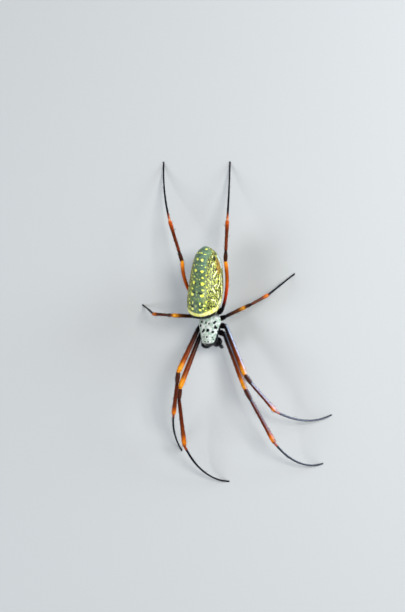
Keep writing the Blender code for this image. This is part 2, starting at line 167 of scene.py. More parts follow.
# %% A node's output
class Output:
    """The output of a node. Every step on it adds a node to its tree."""

    def __init__(self, socket):
        self.socket = socket

    def through(self, kind, inputs, **settings):
        """The first output of a new node that this output goes into."""
        return Output(add(self.socket.id_data, kind, {0: self, **inputs}, **settings).outputs[0])

    def other(self, name):
        """Another output of the same node."""
        return Output(self.socket.node.outputs[name])

    def parts(self):
        return [Output(part) for part in self.through("SeparateXYZ", {}).socket.node.outputs]

    def vector(self, operation, *others):
        return self.through("VectorMath", dict(enumerate(others, 1)), operation=operation)

    def maths(self, operation, *others):
        return self.through("Math", dict(enumerate(others, 1)), operation=operation)

    def at_least(self, limit):
        return self.maths("MAXIMUM", limit)

    def eased(self, low, high, start=0.0, end=1.0):
        """Turns smoothly from start to end while this output goes from low to high."""
        return self.through("MapRange", {1: low, 2: high, 3: start, 4: end}, interpolation_type="SMOOTHSTEP")

    def __add__(self, other):
        return self.maths("ADD", other)

    def __sub__(self, other):
        return self.maths("SUBTRACT", other)

    def __rsub__(self, other):
        return self * -1.0 + other

    def __mul__(self, other):
        return self.maths("MULTIPLY", other)

    def __truediv__(self, other):
        return self.maths("DIVIDE", other)

    def __abs__(self):
        return self.maths("ABSOLUTE")


def feed(socket, value):
    """Puts another node's output, a number or a colour into a socket."""
    if isinstance(value, Output):
        socket.id_data.links.new(value.socket, socket)
    else:
        socket.default_value = (*value, 1.0) if socket.type == "RGBA" else value


def add(tree, kind, inputs=None, **settings):
    made = tree.nodes.new("ShaderNode" + kind)
    for key, value in settings.items():
        setattr(made, key, value)
    for key, value in (inputs or {}).items():
        feed(made.inputs[key], value)
    return made


print("sums on node outputs ready")

# %% [markdown]
# ## Small tools for finishes
# Each finish takes Object coordinates for its noise and the numbers kept by its skin for its pattern.
# What is the same all over a surface is set on the shader itself. One shader group draws a soft-edged
# spot round a point of the skin. It makes every yellow fleck and every black dot of the animal.


# %% Helpers for finishes
def new_finish(name, **steady):
    """A material and its shader, with what is the same all over the surface."""
    made = bpy.data.materials.new(name)
    made.use_nodes = True
    shader = made.node_tree.nodes["Principled BSDF"]
    for key, value in steady.items():
        feed(shader.inputs[key.replace("_", " ")], value)
    return made, shader


def coordinates(finish):
    return Output(add(finish.node_tree, "TexCoord").outputs["Object"])


def kept(finish, name="place"):
    """The numbers that a skin keeps under a name."""
    return Output(add(finish.node_tree, "Attribute", attribute_name=name).outputs["Vector"])


def noise(place, scale, detail, **more):
    """Soft clouds. The scale is how many of them lie side by side in a metre."""
    return place.through("TexNoise", {"Scale": scale, "Detail": detail, **more})


def nudge(clouds, across, along):
    """A small shift to and fro, so that the edges of a pattern are uneven."""
    return clouds.other("Color").vector("SUBTRACT", (0.5, 0.5, 0.5)).vector("MULTIPLY", (across, along, 0.0))


def mixed(factor, one, two):
    """One colour turning into another by a factor."""
    wired = next(value for value in (factor, one, two) if isinstance(value, Output))
    made = add(wired.socket.id_data, "Mix", {0: factor, 6: one, 7: two}, data_type="RGBA")
    return Output(made.outputs[2])


def link_up(shader, colour, roughness=None, height=None, strength=0.0, depth=0.0):
    """The shader takes its colour, its roughness, and a height's bump, as deep as depth millimetres."""
    feed(shader.inputs["Base Color"], colour)
    if roughness:
        feed(shader.inputs["Roughness"], roughness)
    if height:
        inputs = {"Height": height, "Strength": strength, "Distance": depth * MM}
        feed(shader.inputs["Normal"], Output(add(shader.id_data, "Bump", inputs).outputs[0]))


def new_group(name, inputs):
    """A shader group that puts out one mask: the group, its inputs, and the socket for the mask."""
    group = bpy.data.node_groups.new(name, "ShaderNodeTree")
    for word, kind in inputs.items():
        group.interface.new_socket(word, in_out="INPUT", socket_type="NodeSocket" + kind)
    group.interface.new_socket("Mask", in_out="OUTPUT", socket_type="NodeSocketFloat")
    start, end = (group.nodes.new("NodeGroup" + kind) for kind in ("Input", "Output"))
    return group, [Output(start.outputs[word]) for word in inputs], end.inputs[0]


def spot_group():
    inputs = {"Place": "Vector", "Centre": "Vector", "Size": "Vector"}
    group, (place, centre, size), mask = new_group("soft_spot", inputs)
    away = place.vector("SUBTRACT", centre).vector("DIVIDE", size).vector("LENGTH").other("Value")
    feed(mask, away.eased(0.7, 1.15, 1.0, 0.0))
    return group


SPOT = spot_group()
NO_LIMIT = 1000.0


def spots(place, centres):
    """The mask of many spots. Each is given by its place across and along and its two half sizes."""
    total = 0.0
    for across, along, half_across, half_along in centres:
        inputs = {"Centre": (across, along, 0.0), "Size": (half_across, half_along, NO_LIMIT)}
        total = place.through("Group", inputs, node_tree=SPOT).at_least(total)
    return total


print("finish helpers ready")

# %% [markdown]
# ## The shape of the head and thorax
# The fore body is a low shield with a domed head part in front, a shallow dent at the centre and
# grooves that part head from thorax. Below lies the flat breastplate, with the legs in the channel
# between. Smooth curves through a few widths and heights give its rings, and the grooves are
# pressed in as soft valleys.

# %% Head and thorax rings
THORAX_REAR = 3.4
THORAX_Y = (-7.45, -7.3, -6.95, -6.3, -5.0, -3.6, -2.4, -0.6, 1.2, 2.6, 3.4)
half_width_at = smooth_through(THORAX_Y, (1.6, 2.35, 2.72, 2.88, 3.02, 3.36, 3.8, 3.95, 3.6, 2.7, 1.4))
top_at = smooth_through(THORAX_Y, (10.8, 11.2, 11.7, 12.0, 12.15, 11.8, 11.3, 11.55, 11.3, 10.5, 9.7))
rim_at = smooth_through(THORAX_Y, (9.9, 9.6, 9.35, 9.3, 9.4, 9.5, 9.5, 9.5, 9.5, 9.4, 9.2))
UNDERSIDE_Y = (-7.45, -5.6, -4.75, -4.2, -3.0, -0.5, 1.5, 2.6, 3.4)
lower_half_at = smooth_through(UNDERSIDE_Y, (1.3, 1.9, 1.5, 1.85, 2.1, 2.25, 1.85, 1.25, 0.8))
lower_at = smooth_through(UNDERSIDE_Y, (8.9, 8.3, 7.6, 6.5, 6.3, 6.3, 6.35, 6.8, 8.2))
THORAX_RINGS = 119
THORAX_SIDES = 112
# The fore body is turned a little to its right: sideways shift for each unit ahead of its rear.
HEAD_TURN = 0.05


def turned(x, y, z):
    return Vector((x + HEAD_TURN * min(0.0, y - THORAX_REAR), y, z))


def mirrored(path, side):
    return tuple(turned(SIDES[side] * x, y, z) for x, y, z in path)


def valley(distance, width):
    return exp(-((distance / width) ** 2))


def shield_relief(x, y):
    """How far the shield sinks at a point: the central dent and the groove behind the head."""
    dent = 0.3 * exp(-((x / 0.55) ** 2) - ((y - 0.55) / 0.95) ** 2)
    groove = 0.17 * valley(y - (-0.9 - 0.75 * abs(x)), 0.42) * rising(abs(x), 0.0, 0.8)
    fade = rising(abs(x), 0.7, 0.8)
    rays = sum(0.09 * valley(y - (0.5 + slope * (abs(x) - 0.6)), 0.3) * fade for slope in (0.15, 0.8))
    return dent + groove + rays


def thorax_point(step, turn):
    fraction = rising(step, 1, THORAX_RINGS - 1)
    y = THORAX_REAR + (THORAX_FRONT - THORAX_REAR) * (1 - (1 - fraction) ** 1.25)
    half_width, top, rim = half_width_at(y), top_at(y), rim_at(y)
    lower_half, lower = lower_half_at(y), lower_at(y)
    if step in (0, THORAX_RINGS + 1):
        return turned(0.0, y, 0.5 * (top + lower)), Vector((0.0, y, 0.0))
    if turn >= 0:
        x = half_width * cos(turn)
        z = rim + (top - rim) * sin(turn) - shield_relief(x, y) * sin(turn) ** 0.5
        spot = turned(x, y, z)
        return spot, Vector((spot.x, y, 1.0))
    inward = abs(turn + pi / 2) / (pi / 2)
    side = 1 if turn > -pi / 2 else -1
    edge = min(lower_half + 0.15, 0.9 * half_width)
    deep = rim - lower
    ledge = min(rim - 0.3, max(rim - 0.75, lower + 0.5 * deep))
    reach = (0.0, 0.34, 0.5, 0.66, 0.84, 1.0)
    across = (0.0, 0.85 * lower_half, lower_half, edge, 0.94 * half_width, half_width)
    height = (lower, lower + 0.12 * deep, lower + 0.4 * deep, ledge, max(ledge, rim - 0.5), rim)
    x = side * float(np.interp(inward, reach, across))
    spot = turned(x, y, float(np.interp(inward, reach, height)))
    return spot, Vector((spot.x, y, 0.0))


thorax = drawn_out(THORAX_RINGS, THORAX_SIDES, thorax_point)
for _ in range(6):
    bmesh.ops.smooth_vert(thorax, verts=thorax.verts, factor=0.5, use_axis_x=True, use_axis_z=True)
thorax_tree = BVHTree.FromBMesh(thorax)
print("head and thorax:", len(thorax.faces), "faces")

# %% [markdown]
# ## Silver down on a black shield
# The shield is black, under a nap of silver hairs that lie flat. The nap is thin or worn off in a
# set of dots and along the head's front, so the black shows there. The finish is black
# below and silver above, mixed by a mask: the top of the shield, less the dots. The bump is a fine
# streaky noise, like combed hair.

# %% The shield's finish
# Bare dots: across and along in millimetres, then half sizes.
BARE_DOTS = (
    (-2.68, 0.12, 0.53, 0.46), (-0.99, -0.17, 0.33, 0.51), (0.15, -0.54, 0.40, 0.33),
    (1.9, -0.3, 0.48, 0.37), (2.25, 0.12, 0.48, 0.40), (-3.21, -1.16, 0.53, 0.55),
    (2.31, -1.85, 0.64, 0.51), (2.2, -1.45, 0.37, 0.46), (-1.89, -2.7, 0.53, 0.62),
    (-2.26, -3.14, 0.46, 0.46), (-0.36, -2.76, 0.66, 0.62), (1.45, -3.29, 0.53, 0.48),
    (-1.47, -4.91, 0.29, 0.26), (-0.37, -4.97, 0.33, 0.40), (1.48, -5.13, 0.24, 0.24),
    (2.88, -3.06, 0.31, 0.31),
)
HEAD_EDGE = -7.1
# Half the silver's width falls toward the front, and its front corners are rounded.
SILVER_HALF = 3.95
SILVER_FLARE = 0.25
SILVER_NOSE = -6.5
SILVER_ROUND = 3.5
SILVER = (1.0, 1.0, 0.98)
GREENISH_SILVER = (0.42, 0.58, 0.44)
BETWEEN_STRANDS = (0.16, 0.22, 0.18)
BARE_BLACK = (0.006, 0.006, 0.008)


def shield_finish():
    made, shader = new_finish("silver_down_shield", Coat_Weight=0.05, Specular_IOR_Level=0.18)
    coords, place = coordinates(made), kept(made)
    x, y, top = place.parts()
    wobble = noise(coords, 2600.0, 2.0)
    shaken = place.vector("MULTIPLY", (1.0, 1.0, 0.0)).vector("ADD", nudge(wobble, 0.4, 0.4))
    middle = (y - THORAX_REAR).maths("MINIMUM", 0.0) * HEAD_TURN
    nose = (SILVER_NOSE - y).at_least(0.0)
    half = y * SILVER_FLARE + SILVER_HALF - nose * nose * SILVER_ROUND + (wobble - 0.5) * 0.5
    sides = (half - abs(x - middle)).eased(-0.12, 0.14)
    ends = y.eased(HEAD_EDGE - 0.15, HEAD_EDGE + 0.2) * y.eased(2.7, 1.3, 0.12, 1.0)
    nap = top.eased(0.3, 0.9) * sides * ends * (1.0 - spots(shaken, BARE_DOTS))
    patches = noise(coords, 1100.0, 5.0, Roughness=0.65).eased(0.36, 0.62)
    strands = noise(coords.vector("MULTIPLY", (9000.0, 2500.0, 9000.0)), 1.0, 3.0)
    silver = mixed(patches, GREENISH_SILVER, SILVER)
    silver = mixed(strands.eased(0.42, 0.62, 0.0, 0.42), silver, BETWEEN_STRANDS)
    link_up(shader, mixed(nap, BARE_BLACK, silver), nap * 0.3 + 0.24, strands, 0.5, 0.06)
    return made


SHIELD_FINISH = shield_finish()
shield = finished(thorax, "shield_skin", SHIELD_FINISH, "silver_grey", "cephalothorax")
print("shield finish with", len(BARE_DOTS), "bare dots")

# %% [markdown]
# ## The abdomen's shape
# The hind body is a long egg, blunt in front and tapering to the spinnerets. It is one skin. The rings
# follow the same curve as the solid below, closer together. Each point keeps how far it lies from
# the back's midline, how far along it is, and how far from the front pole over the skin.

# %% Abdomen rings
ABDOMEN_FRONT = 1.15
ABDOMEN_LENGTH = 24.35
ABDOMEN_FRONT_Z = 15.0
ABDOMEN_SLOPE = 3.1
ABDOMEN_LIFT = 2.1
ABDOMEN_LIFT_FROM = 0.72
ABDOMEN_FRONT_ASIDE = -0.9
ABDOMEN_ASIDE = 0.25
ABDOMEN_HALF_WIDTH = 5.78
ABDOMEN_RISE = 7.3
ABDOMEN_DROP = 6.8
ABDOMEN_WIDEST = 0.4
ABDOMEN_TAPER = 0.2
ABDOMEN_SHOULDER = 3.0
ABDOMEN_UNDERCUT = 1.6
ABDOMEN_KEEL = (0.06, 0.12)
ABDOMEN_RINGS = 199
ABDOMEN_SIDES = 160


def abdomen_middle(fraction):
    lifted = max(0.0, (fraction - ABDOMEN_LIFT_FROM) / (1 - ABDOMEN_LIFT_FROM)) ** 2
    return ABDOMEN_FRONT_Z - ABDOMEN_SLOPE * fraction + ABDOMEN_LIFT * lifted


def abdomen_swell(fraction, shoulder):
    if fraction < ABDOMEN_WIDEST:
        before = 1 - fraction / ABDOMEN_WIDEST
        return max(0.0, 1 - before ** shoulder) ** (1 / shoulder)
    after = (fraction - ABDOMEN_WIDEST) / (1 - ABDOMEN_WIDEST)
    return (1 - ABDOMEN_TAPER * after) * max(0.0, 1 - after ** 5) ** 0.7


def over_the_back():
    """The distance over the back from the front pole, for each ring."""
    total = [0.0]
    last = None
    for step in range(ABDOMEN_RINGS + 2):
        fraction = 0.5 * (1 - cos(pi * step / (ABDOMEN_RINGS + 1)))
        y = ABDOMEN_LENGTH * fraction
        z = abdomen_middle(fraction) + ABDOMEN_RISE * abdomen_swell(fraction, ABDOMEN_SHOULDER)
        if last:
            total.append(total[-1] + ((y - last[0]) ** 2 + (z - last[1]) ** 2) ** 0.5)
        last = (y, z)
    return total


BACK_ARC = over_the_back()


def abdomen_point(step, turn):
    fraction = 0.5 * (1 - cos(pi * step / (ABDOMEN_RINGS + 1)))
    y = ABDOMEN_FRONT + ABDOMEN_LENGTH * fraction
    half_width = ABDOMEN_HALF_WIDTH * abdomen_swell(fraction, ABDOMEN_SHOULDER)
    if turn >= 0:
        height = ABDOMEN_RISE * abdomen_swell(fraction, ABDOMEN_SHOULDER)
    else:
        height = ABDOMEN_DROP * abdomen_swell(fraction, ABDOMEN_UNDERCUT)
        keel = ABDOMEN_KEEL[0] + (ABDOMEN_KEEL[1] - ABDOMEN_KEEL[0]) * fraction
        half_width *= 1 + keel * sin(turn)
    aside = ABDOMEN_ASIDE * sin(pi * fraction) + ABDOMEN_FRONT_ASIDE * (1 - fraction) ** 3
    point = Vector((aside + half_width * cos(turn), y, abdomen_middle(fraction) + height * sin(turn)))
    from_top = turn - pi / 2 if turn > -pi / 2 else turn + 3 * pi / 2
    return point, Vector((-from_top * 0.5 * (half_width + height), y, BACK_ARC[step]))


abdomen = drawn_out(ABDOMEN_RINGS, ABDOMEN_SIDES, abdomen_point)
girdle = abdomen.verts.layers.float.new("girdle")
for vertex in abdomen.verts:
    fraction = (vertex.co.y - ABDOMEN_FRONT) / ABDOMEN_LENGTH
    vertex[girdle] = atan2(abs(vertex.co.x), vertex.co.z - abdomen_middle(fraction))
abdomen_tree = BVHTree.FromBMesh(abdomen)
print("abdomen:", len(abdomen.faces), "faces,", round(BACK_ARC[-1], 1), "mm over the back")

# %% [markdown]
# ## Places of the abdomen's markings
# The back carries five pairs of bright yellow spots, dark pits beside them and smaller flecks between.
# The flanks carry a few cream strokes on their net. Noise alone would never put them where the animal
# has them, so each is placed one by one on the flattened skin, and the pairs are mirrored.

# %% Markings
# Yellow spots in pairs: distance from the midline, place along, and half sizes.
SPOT_PAIRS = (
    (1.03, 20.92, 0.62, 0.52), (1.38, 17.08, 0.74, 0.5), (1.83, 13.03, 0.78, 0.6), (2.05, 9.1, 0.76, 0.58),
    (1.58, 4.36, 0.56, 0.5), (1.78, 15.05, 0.5, 0.3), (2.25, 10.97, 0.58, 0.28), (1.48, 6.38, 0.27, 0.52),
    (3.13, 6.0, 0.5, 0.34), (3.6, 12.2, 0.34, 0.26), (3.72, 7.2, 0.34, 0.36), (3.67, 4.5, 0.36, 0.28),
    (1.15, 19.1, 0.3, 0.22), (3.05, 16.0, 0.3, 0.24), (2.85, 9.9, 0.26, 0.22), (2.7, 4.9, 0.3, 0.26),
    (2.5, 18.7, 0.26, 0.26), (0.75, 14.3, 0.2, 0.18), (3.0, 14.0, 0.26, 0.2), (1.9, 22.9, 0.62, 0.2),
    (1.9, 24.7, 0.5, 0.3), (0.45, 23.2, 0.4, 0.24),
)
# Small flecks near the midline, dimmer than the pairs.
MIDDLE_FLECKS = (
    (-0.1, 18.95, 0.24, 0.22), (-0.14, 14.32, 0.3, 0.27), (-0.2, 11.67, 0.26, 0.26),
    (-0.03, 10.07, 0.38, 0.28), (-0.07, 9.12, 0.26, 0.22), (-0.07, 5.3, 0.29, 0.47),
    (-0.06, 7.62, 0.22, 0.38), (0.11, 3.76, 0.3, 0.22), (0.6, 12.2, 0.2, 0.16), (-0.9, 8.0, 0.2, 0.3),
    (0.8, 7.9, 0.18, 0.3), (-0.6, 16.0, 0.2, 0.2),
)
PIT_PAIRS = (
    (1.68, 9.74, 0.5, 0.34), (0.96, 9.85, 0.42, 0.34), (0.98, 12.9, 0.36, 0.32), (0.8, 16.65, 0.32, 0.26),
    (1.5, 5.0, 0.52, 0.36), (2.7, 12.75, 0.32, 0.3), (1.0, 5.6, 0.24, 0.38), (2.35, 6.2, 0.26, 0.44),
    (2.3, 5.3, 0.44, 0.24), (0.6, 20.3, 0.24, 0.2), (0.45, 6.4, 0.2, 0.42), (2.2, 16.9, 0.26, 0.26),
)
# Cream strokes on the flanks: two ends and half a width.
CREAM_STROKES = (
    (5.9, 16.3, 7.0, 18.1, 0.26), (6.3, 13.0, 7.4, 13.9, 0.2), (5.8, 12.1, 7.0, 10.9, 0.24),
    (5.9, 8.4, 7.2, 8.3, 0.24), (7.2, 8.3, 7.9, 7.3, 0.18), (4.9, 20.0, 5.6, 20.6, 0.22),
    (4.7, 22.4, 4.9, 22.9, 0.2), (7.9, 12.6, 8.8, 14.6, 0.18), (9.4, 7.6, 10.4, 9.4, 0.22),
    (9.0, 17.7, 9.9, 14.3, 0.15), (10.1, 13.4, 10.4, 10.3, 0.18), (9.7, 9.3, 8.7, 6.8, 0.2),
    (8.4, 16.2, 8.8, 15.2, 0.18), (8.0, 11.4, 8.9, 9.6, 0.17), (6.7, 15.0, 7.4, 15.9, 0.16),
)
# Two warm patches low on the hind flank, given as the spots are.
WARM_PATCHES = ((7.8, 19.6, 1.25, 2.6), (7.0, 21.5, 0.9, 1.2))
# A painted blue-white highlight on the left hind shoulder: two ends and half a width.
PAINTED_HIGHLIGHT_STROKE = (7.4, 23.3, 9.4, 19.9, 0.5)
# How the pattern lies on the body: the midline drifts, and its left side runs a little ahead.
MIDLINE_DRIFT = 0.033
MIDLINE_START = 4.0
SKEW = 0.15


def stroke_group():
    """A mask round a straight stroke between two ends."""
    inputs = {"Place": "Vector", "Start": "Vector", "Run": "Vector", "Half Width": "Float"}
    group, (place, start, run, half_width), mask = new_group("short_stroke", inputs)
    away = place.vector("SUBTRACT", start)
    share = away.vector("DOT_PRODUCT", run).other("Value") / run.vector("DOT_PRODUCT", run).other("Value")
    foot = run.vector("MULTIPLY", share.through("Clamp", {}))
    feed(mask, (away.vector("DISTANCE", foot).other("Value") / half_width).eased(0.6, 1.3, 1.0, 0.0))
    return group


STROKE = stroke_group()


def strokes(place, lines):
    """The mask of many strokes."""
    total = 0.0
    for x1, y1, x2, y2, half in lines:
        inputs = {"Start": (x1, y1, 0.0), "Run": (x2 - x1, y2 - y1, 0.0), "Half Width": half}
        total = place.through("Group", inputs, node_tree=STROKE).at_least(total)
    return total


print("pairs of spots and pits:", len(SPOT_PAIRS), len(PIT_PAIRS), "cream strokes:", len(CREAM_STROKES))

# %% [markdown]
# ## Grey-green back
# The back is grey-green, yellower toward its sides and bluer toward the rear. Over soft clouds lie pale
# and dark grains, like the pigment cells under the real skin. A Voronoi texture scatters such grains
# evenly, which noise can't, and its random colours choose which of them show.


# %% The back's colour
GREY_GREEN = ((0.12, 0.2, 0.085), (0.15, 0.23, 0.15))
SIDE_YELLOW = (0.3, 0.36, 0.05)
REAR_BLUE = (0.16, 0.29, 0.21)
DARK_MOTTLE = (0.035, 0.06, 0.03)
PALE_GRAIN = (0.34, 0.47, 0.27)
DARK_GRAIN = (0.02, 0.03, 0.015)


def back_colour(coords, clouds, mottle, across, along):
    back = mixed(clouds.eased(0.35, 0.65), *GREY_GREEN)
    back = mixed(across.eased(1.4, 3.4, 0.0, 0.75), back, SIDE_YELLOW)
    back = mixed(along.eased(15.0, 19.5, 0.0, 0.6), back, REAR_BLUE)
    back = mixed(mottle.eased(0.4, 0.62), mixed(0.55, back, DARK_MOTTLE), back)
    grains = coords.through("TexVoronoi", {"Scale": 1900.0})
    chosen = grains.other("Color").through("SeparateColor", {})
    pale = grains.eased(0.42, 0.16) * chosen.eased(0.45, 0.75)
    dark = grains.eased(0.3, 0.12) * chosen.other("Green").eased(0.7, 0.9)
    return mixed(dark * 0.8, mixed(pale * 0.6, back, PALE_GRAIN), DARK_GRAIN)


print("back colour ready")

# %% [markdown]
# ## Netted flanks
# The flanks carry a dense net of fine wavy yellow lines on dark olive. The sine of a warped noise gives
# lines of even width that run along and join, as these do. The cream strokes and a warm patch lie over
# the net, and over them a painted blue-white highlight, where light glints on the left hind shoulder.


# %% The flanks' colour
DARK_OLIVE = ((0.012, 0.018, 0.005), (0.045, 0.055, 0.012))
NET_YELLOW = ((0.52, 0.56, 0.03), (0.88, 0.9, 0.2))
WARM_GROUND = (0.3, 0.12, 0.01)
WARM_LINE = (0.85, 0.4, 0.03)
CREAM = (0.92, 0.9, 0.48)
# Colour of the painted highlight on the left hind shoulder.
PAINTED_HIGHLIGHT_BLUE = (0.72, 0.84, 0.92)
# How far the net's noise is pushed about, in metres.
NET_PUSH = 0.0021


def flank_colour(coords, clouds, mottle, across, shaken, single):
    """The colour, and the mask of the net's lines."""
    push = noise(coords, 620.0, 2.0).other("Color").vector("SUBTRACT", (0.5, 0.5, 0.5))
    warped = coords.vector("ADD", push.vector("MULTIPLY", (NET_PUSH, NET_PUSH, NET_PUSH)))
    waves = noise(warped.vector("MULTIPLY", (1.0, 0.7, 0.8)), 1150.0, 1.0, Distortion=0.4)
    lines = (waves * 22.0 + across * 5.5).maths("SINE").eased(0.28, 0.85)
    warm = spots(shaken, WARM_PATCHES) * mottle.eased(0.34, 0.6, 0.35, 1.0)
    yellow = mixed(warm * 0.75, mixed(mottle.eased(0.38, 0.62), *NET_YELLOW), WARM_LINE)
    ground = mixed(warm * 0.6, mixed(clouds.eased(0.4, 0.6), *DARK_OLIVE), WARM_GROUND)
    flank = mixed(strokes(shaken, CREAM_STROKES) * 0.95, mixed(lines, ground, yellow), CREAM)
    # Painted highlight: a blue-white glint laid as colour on the left hind shoulder.
    painted_highlight = strokes(single, (PAINTED_HIGHLIGHT_STROKE,)) * mottle.eased(0.35, 0.6, 0.4, 0.95)
    return mixed(painted_highlight, flank, PAINTED_HIGHLIGHT_BLUE), lines


print("flank colour ready")

# %% [markdown]
# ## The abdomen's finish
# Back and flanks meet at an uneven edge. Over both lie the spots and pits, a cream band across the
# front with a dark face below it, and the brown belly with a pale bar. Each is a mask on the numbers
# kept by the skin, so it wraps round the body. The bump raises the flecks and lines and sinks the pits.


# %% Put the abdomen's finish together
FAINT_FLECK = (0.6, 0.66, 0.1)
SPOT_YELLOW = ((0.92, 0.95, 0.05), (1.0, 1.0, 0.3))
PIT_BLACK = (0.006, 0.008, 0.006)
BAND_CREAM = ((0.9, 0.84, 0.12), (0.97, 0.95, 0.5))
FACE_BLACK = (0.004, 0.004, 0.004)
BELLY_BROWN = ((0.03, 0.02, 0.01), (0.09, 0.06, 0.02))
BELLY_BAR = (0.5, 0.4, 0.1)


def abdomen_finish():
    made, shader = new_finish("spotted_abdomen", Coat_Weight=0.06, Specular_IOR_Level=0.35)
    coords = coordinates(made)
    over, y, from_front = kept(made).parts()
    turn = kept(made, "girdle").other("Fac")
    signed = over + (y - MIDLINE_START) * MIDLINE_DRIFT * turn.eased(2.5, 1.9)
    along = signed * SKEW + y
    across = abs(signed)
    wobble = noise(coords, 1700.0, 2.0)
    shift = nudge(wobble, 0.5, 0.5)
    shaken = across.through("CombineXYZ", {1: along}).vector("ADD", shift)
    single = signed.through("CombineXYZ", {1: along}).vector("ADD", shift)
    bright, pits = (spots(shaken, pairs) for pairs in (SPOT_PAIRS, PIT_PAIRS))
    clouds = noise(coords, 420.0, 4.0)
    mottle = noise(coords, 1500.0, 3.0, Roughness=0.6)
    flank, lines = flank_colour(coords, clouds, mottle, across, shaken, single)
    inner = along * 0.07 + across - (along - 21.0).at_least(0.0) * 0.6 + (mottle - 0.5) * 2.2
    on_flank = inner.eased(4.0, 4.8).at_least(turn.eased(0.9, 1.1))
    skin = mixed(on_flank, back_colour(coords, clouds, mottle, across, along), flank)

    skin = mixed(spots(single, MIDDLE_FLECKS) * 0.65, skin, FAINT_FLECK)
    skin = mixed(bright, skin, mixed(wobble.eased(0.38, 0.62), *SPOT_YELLOW))
    skin = mixed(pits * 0.93, skin, PIT_BLACK)

    # The band lies along an arc round the front pole, and the dark face below it.
    sideways = signed - 1.0
    edge = from_front - (sideways * sideways + 1.0).maths("SQRT") * 0.4 + (mottle - 0.5) * 0.5
    band = edge.eased(3.7, 3.95) * edge.eased(5.55, 5.15) * turn.eased(1.8, 1.4)
    skin = mixed(band, skin, mixed(mottle.eased(0.4, 0.6), *BAND_CREAM))
    face = edge.eased(3.95, 3.65) * y.eased(4.6, 3.8)
    skin = mixed(face, skin, FACE_BLACK)

    # The belly's uneven edge closes behind the spinnerets.
    bar = y.eased(9.2, 9.8) * y.eased(11.4, 10.8)
    belly = mixed(bar * 0.7, mixed(clouds.eased(0.4, 0.62), *BELLY_BROWN), BELLY_BAR)
    low = (clouds - 0.5) * 1.2 + turn - (y - 19.5).at_least(0.0) * 0.28 + (mottle - 0.5) * 0.5
    skin = mixed(low.eased(2.2, 2.45), skin, belly)

    grain = noise(coords, 5200.0, 3.0)
    height = bright * 0.9 + grain + lines * on_flank * 0.6 - pits * 1.6
    link_up(shader, skin, grain * 0.3 + face * 0.5 + 0.22, height, 0.6, 0.08)
    return made


ABDOMEN_FINISH = abdomen_finish()
abdomen_skin = finished(abdomen, "abdomen_skin", ABDOMEN_FINISH, "olive", "abdomen")
print("abdomen finish nodes:", len(ABDOMEN_FINISH.node_tree.nodes))

# %% [markdown]
# ## Legs as one skin each
# A leg is a chain of stiff tubes: hip ring, thigh, knee piece, shin and a long foot. The real tubes join
# in soft rings where the leg bends. One skin runs from the body to the floor here, as the joints are
# creases in it and not cuts. Rings are set along each tube, the width dips at each joint, and no ring
# crosses the slanted plane that halves the bend.

# %% Leg measures
COXA_ROOT = {1: (2.45, -3.3, 7.2), 2: (2.6, -1.15, 7.15), 3: (2.4, 1.05, 7.15), 4: (1.75, 3.0, 7.25)}
FEMUR_ROOT = {1: (4.4, -4.1, 8.0), 2: (4.8, -1.4, 8.0), 3: (4.7, 1.9, 8.0), 4: (3.6, 4.5, 8.0)}
GIRTH = {1: 1.0, 2: 0.98, 3: 0.76, 4: 0.84}
# Lengths of femur, patella, tibia and foot, and the way each points: degrees round from ahead, then up.
LENGTHS = {
    (1, "left"): (21.0, 4.3, 16.3, 19.3),
    (1, "right"): (19.7, 4.3, 16.5, 20.7),
    (2, "left"): (18.8, 4.0, 12.6, 19.3),
    (2, "right"): (18.8, 3.9, 12.5, 18.6),
    (3, "left"): (9.7, 3.0, 7.3, 12.0),
    (3, "right"): (9.7, 3.0, 7.3, 12.1),
    (4, "left"): (17.4, 4.0, 12.9, 22.3),
    (4, "right"): (17.6, 4.0, 13.0, 22.7),
}
POSE = {
    (1, "left"): ((27, 12), (33, 10), (26, -13), (27, -38), (110, -19)),
    (1, "right"): ((-15, 19), (-15, -22), (1, -14), (16, -30), (88, -20)),
    (2, "left"): ((28, 12), (44, 16), (36, -23), (58, -30), (119, -19)),
    (2, "right"): ((-12, 34), (-9, -5), (-19, -26), (-38, -51), (19, -36)),
    (3, "left"): ((111, 17), (107, 33), (128, -45), (140, -44), (134, -33)),
    (3, "right"): ((-93, 36), (-92, -35), (-93, -25), (-111, -52), (-111, -42)),
    (4, "left"): ((167, 21), (162, 33), (192, -32), (190, -30), (187, -20)),
    (4, "right"): ((-163, 21), (-150, -26), (-154, -18), (-153, -25), (-174, -18)),
}
FOOT_TURN = {1: 1.45, 2: 1.25, 3: 1.0, 4: 1.0}
BOW = {4: (1.5, 0.95)}
SEGMENTS = ("coxa", "femur", "patella", "tibia", "foot")
RINGS = {"coxa": 14, "femur": 34, "patella": 14, "tibia": 30, "foot": 46}
WIDTH_AT = {
    "coxa": smooth_through((0.0, 0.16, 0.42, 0.58, 0.74, 1.0), (0.66, 0.93, 0.99, 0.8, 0.86, 0.64)),
    "femur": smooth_through(
        (0.0, 0.06, 0.22, 0.46, 0.7, 0.87, 0.96, 1.0), (0.6, 0.68, 0.74, 0.78, 0.84, 0.86, 0.8, 0.68)
    ),
    "patella": smooth_through((0.0, 0.2, 0.5, 0.8, 1.0), (0.62, 0.76, 0.79, 0.7, 0.56)),
    "tibia": smooth_through(
        (0.0, 0.08, 0.34, 0.64, 0.82, 0.94, 1.0), (0.5, 0.6, 0.62, 0.66, 0.76, 0.74, 0.56)
    ),
    "foot": smooth_through(
        (0.0, 0.035, 0.09, 0.25, 0.42, 0.6, 0.66, 0.78, 1.0),
        (0.36, 0.42, 0.37, 0.34, 0.32, 0.3, 0.27, 0.27, 0.26),
    ),
}
# The hind thighs are slimmer along their middle.
THIGH_SLIM = {4: 0.17}
slim_at = smooth_through((0.0, 0.2, 0.85, 1.0), (0.0, 1.0, 1.0, 0.3))
FOOT_STEPS = 60
LEG_SIDES = 24
CREASE = 0.05
